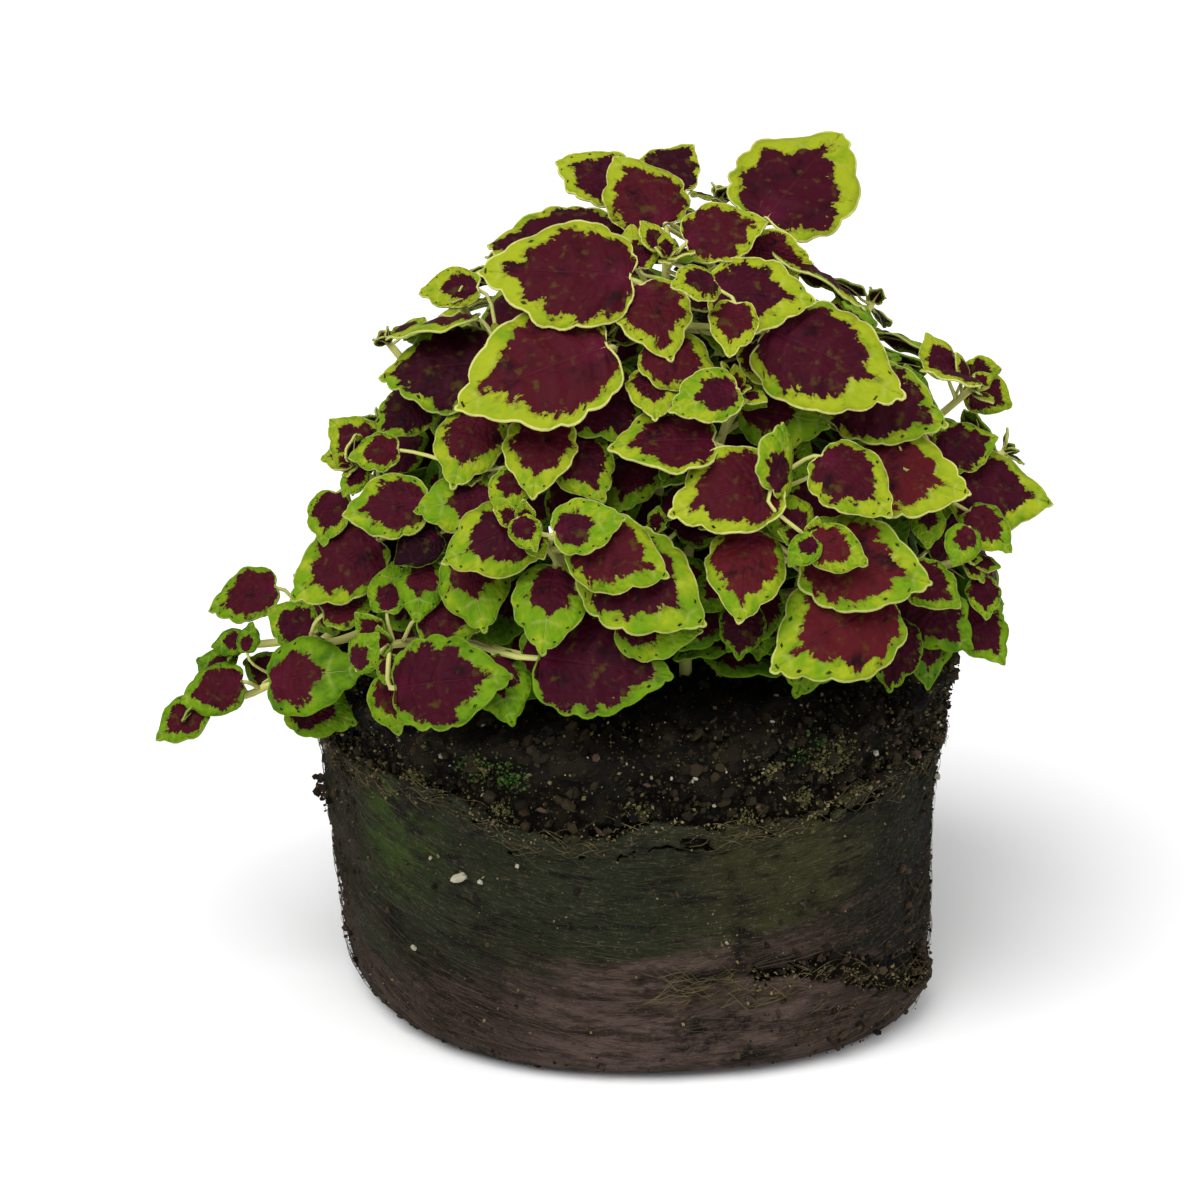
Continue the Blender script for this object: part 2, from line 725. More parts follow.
@dataclass
class Planting:
    """The plant as it grows: its stems and leaves, and what a new leaf would cross."""

    canopy: Canopy
    form: BladeForm
    stem_form: StemForm
    ground: BVHTree
    clearance: float = 0.4 * MM
    root_shared: float = 2.5 * MM
    petiole_reach: float = 12 * MM
    petiole_share: float = 0.32
    least_turn: float = 0.15
    nearest_stems: int = 3
    rule_tries: int = 30
    inner_depth: float = 0.9
    soil_height: float = 87 * MM
    stems: list[Stem] = field(default_factory=list)
    leaves: list[Leaf] = field(default_factory=list)
    trees: list[tuple] = field(default_factory=list)
    stem_trees: list[BVHTree] = field(default_factory=list)

    def plant_stems(self) -> None:
        """Places every stem: the ones of the picture, then those behind."""
        feet: list[Vector] = []
        for across, down, proud, _ in FRONT_TIPS:
            tip = self.canopy.meet(across, down, proud * MM)
            self.stems.append(self.stem_form.rise(tip, feet, self.canopy))
        for turn, rise in HIDDEN_TIPS:
            turn, rise = math.radians(turn), math.radians(rise)
            way = Vector((math.cos(turn) * math.cos(rise), math.sin(turn) * math.cos(rise), math.sin(rise)))
            off = Vector(way[i] * self.canopy.radii[i] for i in range(3)) * 0.9
            self.stems.append(self.stem_form.rise(self.canopy.centre + off, feet, self.canopy))
        self.stem_trees = [self.stem_form.tree(stem, self.clearance) for stem in self.stems]

    def grow_leaves(self, draw: random.Random) -> int:
        """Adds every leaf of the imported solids, those of the picture first.

        Args:
            draw: The random draw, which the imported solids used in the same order.

        Returns:
            How many leaves found no room.
        """
        missed = 0
        kinds = {place: kind for kind, places in SEEN_KINDS.items() for place in places}
        for row in sorted(SEEN_LEAVES, key=lambda row: -row[3]):
            leaf = self.seen_leaf(*row)
            leaf.kind = kinds.get(row[:2], LeafKind.TYPICAL)
            line = (self.canopy.picture.eye - leaf.foot).normalized()
            missed += not self.grow(leaf, self.ways_to_clear(leaf, line, draw))
        for number, stem in enumerate(self.stems):
            front = number < len(FRONT_TIPS)
            pairs = INNER_PAIRS if front else HIDDEN_PAIRS
            suits = self.stays_inside if front else self.stays_within_outline
            if front and FRONT_TIPS[number][3]:
                for leaf, root in self.pair_leaves(stem, 1, FRONT_TIPS[number][3], 1, 0.8, draw):
                    self.grow(leaf, self.ways_about(leaf, root, draw), (number, root), self.stays_within_outline)
            for quarter, (below, length) in enumerate(pairs):
                for leaf, root in self.pair_leaves(stem, below, length, quarter, 1.15, draw):
                    missed += not self.grow(leaf, self.ways_about(leaf, root, draw), (number, root), suits)
        return missed

    def fill_inside(self, draw: random.Random) -> int:
        """Adds the small leaves inside the canopy, in opposite pairs down every stem.

        Args:
            draw: The random draw.

        Returns:
            How many leaves were added.
        """
        before = len(self.leaves)
        self.rule_tries = 6
        for number, stem in enumerate(self.stems):
            length = sum((b - a).length for a, b in zip(stem.points[1:], stem.points[2:])) / MM
            below = draw.uniform(5, 9)
            quarter = 0
            while below < length - 3:
                size = draw.uniform(11, 21) * (0.6 + 0.4 * min(1, below / 20))
                for leaf, root in self.pair_leaves(stem, below, size, quarter, 1.15, draw):
                    leaf.kind = draw.choice([LeafKind.TYPICAL, LeafKind.GREEN, LeafKind.GREEN])
                    ways = self.ways_about(leaf, root, draw)
                    self.grow(leaf, ways, (number, root), self.stays_behind)
                quarter += 1
                below += draw.uniform(8, 12)
        return len(self.leaves) - before

    def tip_rosettes(self, draw: random.Random) -> None:
        """Adds the tiny leaves that unfold at the tip of every stem."""
        for number, stem in enumerate(self.stems):
            for quarter, (below, length, spread) in enumerate(((0.4, 5.2, 0.75), (0.1, 3.4, 0.45))):
                for leaf, root in self.pair_leaves(stem, below, length, quarter + 0.5, spread, draw):
                    leaf.foot = root + leaf.along * 0.16 * leaf.length
                    leaf.stem, leaf.root = number, root
                    self.leaves.append(leaf)

    def stems_near(self, leaf: Leaf) -> list[tuple[float, int, Vector]]:
        """The stems that the leaf could grow from, nearest first, with the place on each."""
        wanted = leaf.foot - leaf.along * 0.2 * leaf.length - leaf.face * 0.35 * leaf.length
        found = []
        for i, stem in enumerate(self.stems):
            best = None
            for high, low in zip(stem.points[2:], stem.points[1:-1]):
                run = high - low
                share = min(0.98, max(0.02, (wanted - low).dot(run) / run.length_squared))
                point = low + run * share
                if best is None or (point - wanted).length < (best - wanted).length:
                    best = point
            found.append(((best - wanted).length, i, best))
        return sorted(found, key=lambda one: one[0])

    def reach_of(self, leaf: Leaf) -> tuple[Vector, float]:
        """A centre and a radius that hold all of the leaf."""
        tip = self.form.point(leaf, 1, 0)
        return (leaf.root + tip) / 2, 0.5 * (leaf.root - tip).length + 0.6 * leaf.length

    def crossings(self, leaf: Leaf) -> tuple[int, int]:
        """How many leaves of other stems, and of its own, the leaf would cross."""
        tree, lowest = self.form.tree(leaf, self.clearance)
        short_tree, _ = self.form.tree(leaf, 0, self.root_shared)
        if lowest < self.soil_height and tree.overlap(self.ground):
            return 99, 0
        others = own = 0
        for i, stem_tree in enumerate(self.stem_trees):
            if i != leaf.stem and tree.overlap(stem_tree):
                others += 1
        centre, radius = self.reach_of(leaf)
        for other, other_tree, other_short, other_centre, other_radius in self.trees:
            if (centre - other_centre).length > radius + other_radius:
                continue
            if other.stem == leaf.stem:
                own += bool(short_tree.overlap(other_short))
            else:
                others += bool(tree.overlap(other_tree))
        return others, own

    def grow(self, leaf: Leaf, ways: list[tuple[Matrix, Vector]], place=None, suits=None) -> bool:
        """Adds a leaf in the first way that crosses nothing, or else, for a leaf of the picture,
        in one that crosses only leaves of its own stem.

        Args:
            leaf: The leaf as it would be best.
            ways: The turns and shifts of it to try.
            place: A stem's number and a point on it, or None for the nearest stems.
            suits: A test that the leaf has to pass, or None.

        Returns:
            Whether it found a way.
        """
        second = None
        reach = self.petiole_reach + 0.8 * leaf.length
        for turn, shift in ways:
            along, face = (turn @ leaf.along).normalized(), (turn @ leaf.face).normalized()
            tried = Leaf(leaf.foot + shift, along, face, leaf.length, kind=leaf.kind)
            if suits and not suits(tried):
                continue
            near = [(0, *place)] if place else self.stems_near(tried)[:self.nearest_stems]
            for distance, stem, root in near:
                if distance > reach or (tried.foot - root).normalized().dot(along) < self.least_turn:
                    continue
                tried.stem, tried.root = stem, root
                others, own = self.crossings(tried)
                if others == 0 and own == 0:
                    self.add(tried)
                    return True
                if others == 0 and second is None and not place:
                    second = Leaf(tried.foot, along, face, tried.length, stem, root, tried.kind)
        if second:
            self.add(second)
            return True
        return False

    def add(self, leaf: Leaf) -> None:
        """Adds the leaf as it is."""
        self.leaves.append(leaf)
        trees = [self.form.tree(leaf, 0, skip)[0] for skip in (0, self.root_shared)]
        self.trees.append((leaf, *trees, *self.reach_of(leaf)))

    def seen_leaf(self, across: float, down: float, tip_turn: float, seen_length: float, proud: float,
                  roll: float) -> Leaf:
        """A leaf read off the picture.

        Args:
            across: The middle of its blade, from the picture's left.
            down: The middle of its blade, from the picture's top.
            tip_turn: The way its tip points there, in degrees anticlockwise from the right.
            seen_length: Its seen length in millimetres.
            proud: How many millimetres it stands out of the canopy.
            roll: How many degrees it is rolled about its midrib.

        Returns:
            The leaf, on no stem yet.
        """
        picture = self.canopy.picture
        middle = self.canopy.meet(across, down, proud * MM)
        face = (UP * 0.5 + self.canopy.normal(middle) * 0.45 + picture.to_eye * 0.8).normalized()
        turn = math.radians(tip_turn)
        flat = picture.across * math.cos(turn) + picture.upward * math.sin(turn)
        away = -flat.dot(face) / picture.to_eye.dot(face)
        along = (flat + picture.to_eye * away).normalized()
        shown = max(0.75, 1 / math.hypot(1, away))
        length = seen_length * MM * (1 - picture.to_eye.dot(middle) / picture.distance) / shown
        face = Matrix.Rotation(math.radians(roll), 3, along) @ face
        lifted = Matrix.Rotation(-0.5 * self.form.droop, 3, face.cross(along))
        along, face = lifted @ along, lifted @ face
        leaf = Leaf(Vector(), along, face, length)
        leaf.foot = middle - self.form.point(leaf, 0.5, 0)
        return leaf

    def ways_about(self, leaf: Leaf, root: Vector, draw: random.Random) -> list[tuple[Matrix, Vector]]:
        """Turns of a leaf about the place that it grows from, the smallest first."""
        ways = [(Matrix.Identity(3), Vector())]
        for i in range(self.rule_tries):
            axis = Vector(draw.gauss(0, 1) for _ in range(3)).normalized()
            turn = Matrix.Rotation(0.15 + 0.75 * i / self.rule_tries, 3, axis)
            ways.append((turn, turn @ (leaf.foot - root) - (leaf.foot - root)))
        return ways

    def ways_to_clear(self, leaf: Leaf, line: Vector, draw: random.Random) -> list[tuple[Matrix, Vector]]:
        """Small turns and shifts of a leaf, the smallest first: along line, then tilted as well."""
        ways = []
        for size in range(9):
            for sign in (1, -1):
                for tilt in (0, 0.14, -0.14) if size else (0,):
                    axis = leaf.along if draw.random() < 0.5 else leaf.face.cross(leaf.along)
                    ways.append((Matrix.Rotation(tilt * size / 2, 3, axis), line * size * sign * 1.5 * MM))
        return ways

    def pair_leaves(self, stem: Stem, below: float, length: float, quarter: float, spread: float,
                    draw: random.Random) -> list[tuple[Leaf, Vector]]:
        """The two leaves of one pair, opposite each other on their stem.

        Args:
            stem: The stem.
            below: How many millimetres below its tip they grow.
            length: Their length in millimetres.
            quarter: How many quarter turns round the stem the first one points.
            spread: How far they lean out from the stem, in radians.
            draw: The random draw.

        Returns:
            Each leaf with the point that it grows from.
        """
        point, run = self.along_stem(stem, below * MM)
        first = run.orthogonal().normalized()
        leaves = []
        for half in (0, 1):
            turn = quarter * math.pi / 2 + half * math.pi + draw.uniform(-0.25, 0.25)
            out = Matrix.Rotation(turn, 3, run) @ first
            along = (out * math.sin(spread) + run * math.cos(spread)).normalized()
            along = (along - UP * 0.1).normalized()
            face = (run + UP * 0.55 + self.canopy.normal(point) * 0.4)
            face = (face - along * face.dot(along)).normalized()
            size = length * MM * draw.uniform(0.88, 1.1)
            foot = point + along * (self.petiole_share * size + 0.8 * MM)
            leaves.append((Leaf(foot, along, face, size), point))
        return leaves

    def along_stem(self, stem: Stem, below: float) -> tuple[Vector, Vector]:
        """The point this far below the tip, measured along the stem, and the way the stem runs."""
        for i in range(len(stem.points) - 1, 0, -1):
            high, low = stem.points[i], stem.points[i - 1]
            step = (high - low).length
            if below <= step or i == 1:
                run = (high - low).normalized()
                return high - run * min(below, step), run
            below -= step
        raise ValueError("a stem has at least two points")

    def stays_within_outline(self, leaf: Leaf) -> bool:
        """Whether all of the leaf lies inside the plant's outline in the picture."""
        places = [(0.15, 1), (0.15, -1), (0.5, 1), (0.5, -1), (0.8, 1), (0.8, -1), (1, 0)]
        picture = self.canopy.picture
        return all(picture.shows_inside(self.form.point(leaf, share, side), OUTLINE)
                   for share, side in places)

    def stays_inside(self, leaf: Leaf) -> bool:
        """Whether the leaf also lies inside the canopy, behind the leaves that the picture shows."""
        inside = self.canopy.share(self.form.point(leaf, 0.6, 0)) < self.inner_depth
        return inside and self.stays_within_outline(leaf)

    def stays_behind(self, leaf: Leaf) -> bool:
        """Whether the leaf lies inside the canopy, and at the front well behind its surface."""
        middle = self.form.point(leaf, 0.6, 0)
        depth = 0.86 if middle.y < 10 * MM else 0.97
        return self.canopy.share(middle) < depth and self.stays_within_outline(leaf)


class BladeSize(Enum):
    """How finely blades from some length on are modelled: that length, faces along, faces across,
    the rounded teeth of one edge, and how much deeper than usual those are."""

    LARGE = (24 * MM, 42, 12, 8, 1.0)
    MIDDLE = (14 * MM, 26, 8, 6, 1.15)
    SMALL = (7 * MM, 18, 6, 4, 1.45)
    TINY = (0.0, 10, 4, 3, 1.5)

    @property
    def teeth(self) -> int:
        """The rounded teeth of one edge."""
        return self.value[3]

    @property
    def depth(self) -> float:
        """How much deeper than usual the teeth are."""
        return self.value[4]

    @classmethod
    def of(cls, leaf: Leaf) -> "BladeSize":
        """The size that a leaf belongs to."""
        return next(size for size in cls if leaf.length >= size.value[0])


@dataclass
class FineLeaves:
    """Models the leaves finely: scalloped and quilted blades, petioles and midribs.

    Args:
        form: The plain form that each blade keeps.
        tooth: How deep the edge's notches are, as a share of the blade's length.
        sinus: How far the blade's two base lobes reach back past its foot.
        quilt: How high the blade puffs up between its veins.
        wave: How far its edge waves up and down.
        blade: The thickness of a blade.
    """

    form: BladeForm
    tooth: float = 0.036
    sinus: float = 0.085
    quilt: float = 0.016
    wave: float = 0.028
    blade: float = 0.45 * MM
    vein_lead: float = 0.34
    grids: dict = field(default_factory=dict)
    petiole: bpy.types.Mesh | None = None

    def __post_init__(self) -> None:
        """Makes the templates."""
        self.grids = {size: grid_template(size.value[1], size.value[2]) for size in BladeSize}
        self.petiole = tube_template(5, 10)

    def blade_points(self, leaf: Leaf, grid: np.ndarray, size: BladeSize, draw: random.Random) -> np.ndarray:
        """A grid's points laid on a leaf's blade.

        Args:
            leaf: The leaf.
            grid: The grid's points, from -1 to 1 along the blade's edge and across it.
            size: How finely the blade is modelled.
            draw: The random draw, for what differs from leaf to leaf.

        Returns:
            The points in the object's frame.
        """
        length = leaf.length
        place, side = (grid[:, 0] + 1) / 2, grid[:, 1]
        out = np.abs(side)
        phases = [draw.uniform(0, 2 * math.pi) for _ in range(6)]
        edge = self.edge_line(length, size, phases)
        index = place * (len(edge[0]) - 1)
        left = side < 0
        edge_x = np.where(left, np.interp(index, range(len(edge[0])), edge[0]),
                          np.interp(index, range(len(edge[2])), edge[2]))
        edge_y = np.where(left, np.interp(index, range(len(edge[1])), edge[1]),
                          np.interp(index, range(len(edge[3])), edge[3]))
        share = 0.5 - 0.5 * np.cos(math.pi * place)
        half = self.form.half_width(length, share)
        rib_x = np.maximum(0, share * length - self.vein_lead * half)
        x = rib_x + (edge_x - rib_x) * out ** 1.2
        y = side * edge_y
        bend = self.form.droop * np.clip(x / length, -0.2, 1.05)
        curl = draw.uniform(-0.05, 0.16)
        cup = draw.uniform(-0.08, 0.2)
        shoulder = 0.35 + 0.65 * np.clip(place / 0.25, 0, 1)
        lift = -self.form.sag * out * np.abs(y) * shoulder
        window = np.sqrt(out) * (1 - out) * 2.2 * np.sin(math.pi * place) ** 0.5
        lift += self.quilt * length * np.cos(2 * math.pi * size.teeth * place) * window
        waves = np.where(left, np.sin(2 * math.pi * 2.5 * place + phases[0]),
                         np.sin(2 * math.pi * 3.1 * place + phases[1]))
        lift += self.wave * length * waves * out ** 2.5 * np.sin(math.pi * place)
        lift += cup * out ** 2 * np.abs(y) - curl * length * np.clip(x / length - 0.6, 0, 1) ** 2
        lift += 0.007 * length * np.clip((out - 0.88) / 0.12, 0, 1) ** 2
        lift -= 0.02 * length * np.exp(-(out / 0.09) ** 2) * np.sin(math.pi * np.clip(place, 0, 1)) ** 0.5
        forward = length * np.sin(bend) / self.form.droop
        down = length * (1 - np.cos(bend)) / self.form.droop
        along, face = np.array(leaf.along), np.array(leaf.face)
        across = np.cross(face, along)
        normal = np.cos(bend)[:, None] * face + np.sin(bend)[:, None] * along
        return (np.array(leaf.foot) + forward[:, None] * along - down[:, None] * face
                + y[:, None] * across + lift[:, None] * normal)

    def edge_line(self, length: float, size: BladeSize, phases: list[float]) -> list[np.ndarray]:
        """The blade's two edges, each as its places along and across, at even steps."""
        steps = 16 * size.teeth
        place = np.linspace(0, 1, steps + 1)
        share = 0.5 - 0.5 * np.cos(math.pi * place)
        lines = []
        for first in (2, 4):
            back = self.sinus * np.exp(-((place - 0.15) / 0.1) ** 2) * place / (place + 0.03)
            x = length * (share - back)
            fuller = 0.14 * np.exp(-((place - 0.2) / 0.13) ** 2)
            pointed = 1 - 0.42 * np.clip((share - 0.5) / 0.5, 0, 1) ** 1.5
            y = self.form.half_width(length, np.clip(share, 0, 1)) * (1 + fuller) * pointed
            run_x, run_y = np.gradient(x), np.gradient(y)
            stride = np.hypot(run_x, run_y) + 1e-12
            warped = place + 0.022 * np.sin(7 * place + phases[first])
            depth = self.tooth * size.depth * (1 + 0.5 * np.sin(9 * place + phases[first + 1]))
            scallop = np.abs(np.sin(math.pi * size.teeth * warped)) ** 0.6 - 0.6
            window = np.clip(place / 0.1, 0, 1) * np.clip((0.97 - place) / 0.13, 0, 1)
            offset = depth * length * scallop * window
            lines += [x - run_y / stride * offset, y + run_x / stride * offset]
        return lines

    def blades(self, leaves: list[Leaf], canopy: Canopy, draw: random.Random) -> bpy.types.Mesh:
        """The blades of several leaves as one mesh with thickness.

        Args:
            leaves: The leaves.
            canopy: The dome, which says how much sun a leaf gets.
            draw: The random draw.

        Returns:
            A mesh whose faces have material 0 above and 1 below.
        """
        parts = []
        for size in BladeSize:
            some = [leaf for leaf in leaves if BladeSize.of(leaf) is size]
            if not some:
                continue
            grid = points_of(self.grids[size])
            mesh = copies(self.grids[size], len(some))
            put(mesh, np.vstack([self.blade_points(leaf, grid, size, draw) for leaf in some]))
            tones = [self.tone(leaf, canopy, draw) for leaf in some]
            paint(mesh, "tone", np.repeat(np.array(tones), len(grid), axis=0))
            parts.append(mesh)
        obj = joined("blades", parts, weld=0.01 * MM)
        bpy.context.scene.collection.objects.unlink(obj)
        shell = obj.modifiers.new("thickness", "SOLIDIFY")
        shell.thickness = self.blade
        shell.offset = 0
        shell.material_offset = 1
        for name in ("above", "below"):
            obj.data.materials.append(bpy.data.materials.new(name))
        return evaluated(obj)

    def tone(self, leaf: Leaf, canopy: Canopy, draw: random.Random) -> tuple[float, ...]:
        """The leaf's own numbers for its material: a seed, the green margin's width, the sun on
        it, and how dark its heart is, where 0.5 is plain burgundy."""
        middle = self.form.point(leaf, 0.5, 0)
        high = min(1, max(0, (middle.z - 88 * MM) / (80 * MM)))
        outer = min(1, max(0, (canopy.share(middle) - 0.66) / 0.3))
        sun = outer * (0.42 + 0.58 * high) + leaf.kind.sun + draw.uniform(-0.1, 0.1)
        small = max(0, 1 - leaf.length / (16 * MM))
        margin = leaf.kind.margin + 0.04 * small + draw.uniform(-0.02, 0.02)
        dark = 0.5 + 0.5 * leaf.kind.dark + 0.2 * (0.5 - outer) + draw.uniform(-0.1, 0.1)
        return draw.random(), margin, min(1, max(0, sun)), dark

    def petioles(self, leaves: list[Leaf]) -> bpy.types.Mesh:
        """The petioles of several leaves, each running on as the midrib under its blade."""
        template = points_of(self.petiole)
        rows = []
        for leaf in leaves:
            root, foot = np.array(leaf.root), np.array(leaf.foot)
            along, face = np.array(leaf.along), np.array(leaf.face)
            reach = np.linalg.norm(foot - root)
            run = (foot - root) / reach
            width = min(0.85, 0.3 + 0.0145 * leaf.length / MM) * MM
            seat = foot - face * (0.2 * MM + 0.75 * width)
            knots = [root, root + run * 0.4 * reach, seat - along * 0.3 * reach - face * 0.1 * reach, seat]
            t = np.linspace(0, 1, 6)[:, None]
            stalk = (knots[0] * (1 - t) ** 3 + knots[1] * 3 * t * (1 - t) ** 2
                     + knots[2] * 3 * t ** 2 * (1 - t) + knots[3] * t ** 3)
            shares = np.linspace(0.12, 0.86, 5)
            sunk = 0.25 * MM + 0.02 * leaf.length
            rib = [np.array(self.form.point(leaf, share, 0) - self.form.normal(leaf, share, 0) * sunk)
                   for share in shares]
            radii = np.concatenate([np.linspace(1.15, 0.9, 6), np.linspace(0.72, 0.22, 5)]) * width
            rows.append(sweep(template, np.vstack([stalk, rib]), np.cross(face, along), radii, 0.8))
        mesh = copies(self.petiole, len(leaves))
        put(mesh, np.vstack(rows))
        return mesh


@dataclass
class LeafyStems:
    """Builds each stem with all its leaves as one piece.

    Args:
        planting: Where the stems and leaves are.
        fine: What models the leaves.
        sides: How many sides a stem's round-cornered square section has.
        steps: How many rings a stem has.
    """

    planting: Planting
    fine: FineLeaves
    sides: int = 12
    steps: int = 24
    squareness: float = 3.2

    def stem_mesh(self, stem: Stem, template: bpy.types.Mesh) -> bpy.types.Mesh:
        """One stem: square, with rounded corners and a swelling where each pair grows."""
        path = along_path(np.array([list(p) for p in stem.points]), np.linspace(0, 1, self.steps + 1))
        form = self.planting.stem_form
        radius = np.linspace(form.foot_radius, form.tip_radius * 0.8, self.steps + 1) * 0.92
        unit = points_of(template)
        turn = np.arctan2(unit[:, 1], unit[:, 0]) + math.pi / 4
        corner = (np.abs(np.cos(turn)) ** self.squareness + np.abs(np.sin(turn)) ** self.squareness)
        unit[:, :2] *= (corner ** (-1 / self.squareness) / 2 ** (0.5 - 1 / self.squareness))[:, None]
        mesh = template.copy()
        put(mesh, sweep(unit, path, np.array([1.0, 0.3, 0.0]), radius))
        return mesh

    def build(self, number: int, template: bpy.types.Mesh, draw: random.Random) -> bpy.types.Object:
        """One leafy stem, ready to dress.

        Args:
            number: The stem's number, from 0.
            template: The tube template of the stems.
            draw: The random draw.

        Returns:
            The piece.
        """
        leaves = [leaf for leaf in self.planting.leaves if leaf.stem == number]
        blades = self.fine.blades(leaves, self.planting.canopy, draw)
        blades.materials.clear()
        stalks = [self.stem_mesh(self.planting.stems[number], template), self.fine.petioles(leaves)]
        for mesh in stalks:
            mesh.polygons.foreach_set("material_index", [2] * len(mesh.polygons))
        return joined(f"foliage_{number + 1:02d}", [blades, *stalks])


# Materials

class Wiring:
    """Short ways to add and join the nodes of one material or node group."""

    def __init__(self, tree: bpy.types.NodeTree) -> None:
        """Works in this node tree."""
        self.tree = tree

    def add(self, kind: str, inputs: dict | None = None, **settings: object) -> bpy.types.Node:
        """Adds a node.

        Args:
            kind: Its type, without "ShaderNode".
            inputs: What goes into its sockets, by name or number: a value or another socket.
            settings: Its own properties.

        Returns:
            The node.
        """
        node = self.tree.nodes.new("ShaderNode" + kind)
        for name, value in settings.items():
            setattr(node, name, value)
        for key, value in (inputs or {}).items():
            self.feed(node.inputs[key], value)
        return node

    def feed(self, socket: bpy.types.NodeSocket, value: object) -> None:
        """Joins a socket to another one, or sets its value."""
        if isinstance(value, bpy.types.NodeSocket):
            self.tree.links.new(value, socket)
        elif isinstance(value, tuple) and len(value) == 3 and socket.type == "RGBA":
            socket.default_value = (*value, 1)
        else:
            socket.default_value = value

    def sum(self, operation: str, a: object, b: object = 0.0, clamp: bool = False) -> bpy.types.NodeSocket:
        """The result of a sum on one or two values."""
        node = self.add("Math", {0: a, 1: b}, operation=operation, use_clamp=clamp)
        return node.outputs[0]

    def step(self, value: object, low: float, high: float) -> bpy.types.NodeSocket:
        """A smooth step from 0 where value is low to 1 where it is high."""
        node = self.add("MapRange", {"Value": value, "From Min": low, "From Max": high},
                        interpolation_type="SMOOTHSTEP")
        return node.outputs["Result"]

    def mix(self, share: object, a: object, b: object, blend: str = "MIX") -> bpy.types.NodeSocket:
        """Colour a turned to colour b by share."""
        node = self.add("Mix", data_type="RGBA", blend_type=blend, clamp_factor=True)
        self.feed(node.inputs[0], share)
        self.feed(node.inputs[6], a)
        self.feed(node.inputs[7], b)
        return node.outputs[2]

    def noise(self, vector: object, scale: float, detail: float = 2.0, rough: float = 0.5) -> bpy.types.NodeSocket:
        """Noise from 0 to 1 at a vector."""
        node = self.add("TexNoise", {"Vector": vector, "Scale": scale, "Detail": detail, "Roughness": rough})
        return node.outputs[0]

    def vector(self, x: object, y: object, z: object) -> bpy.types.NodeSocket:
        """A vector of three values."""
        return self.add("CombineXYZ", {0: x, 1: y, 2: z}).outputs[0]

    def stretched(self, scale: tuple[float, float, float]) -> bpy.types.NodeSocket:
        """The Object coordinates, each multiplied by its scale."""
        place = self.add("TexCoord").outputs["Object"]
        return self.add("Mapping", {"Vector": place, "Scale": scale}).outputs[0]


def group_tree(name: str, inputs: dict[str, float], outputs: list[str]) -> tuple[Wiring, dict, bpy.types.Node]:
    """Starts a node group with number inputs and outputs.

    Args:
        name: The group's name.
        inputs: Each input's name and its usual value.
        outputs: The outputs' names.

    Returns:
        The wiring inside it, its input sockets by name, and its output node.
    """
    tree = bpy.data.node_groups.new(name, "ShaderNodeTree")
    for key, value in inputs.items():
        socket = tree.interface.new_socket(key, in_out="INPUT", socket_type="NodeSocketFloat")
        socket.default_value = value
    for key in outputs:
        tree.interface.new_socket(key, in_out="OUTPUT", socket_type="NodeSocketFloat")
    entry = tree.nodes.new("NodeGroupInput")
    end = tree.nodes.new("NodeGroupOutput")
    return Wiring(tree), {key: entry.outputs[key] for key in inputs}, end


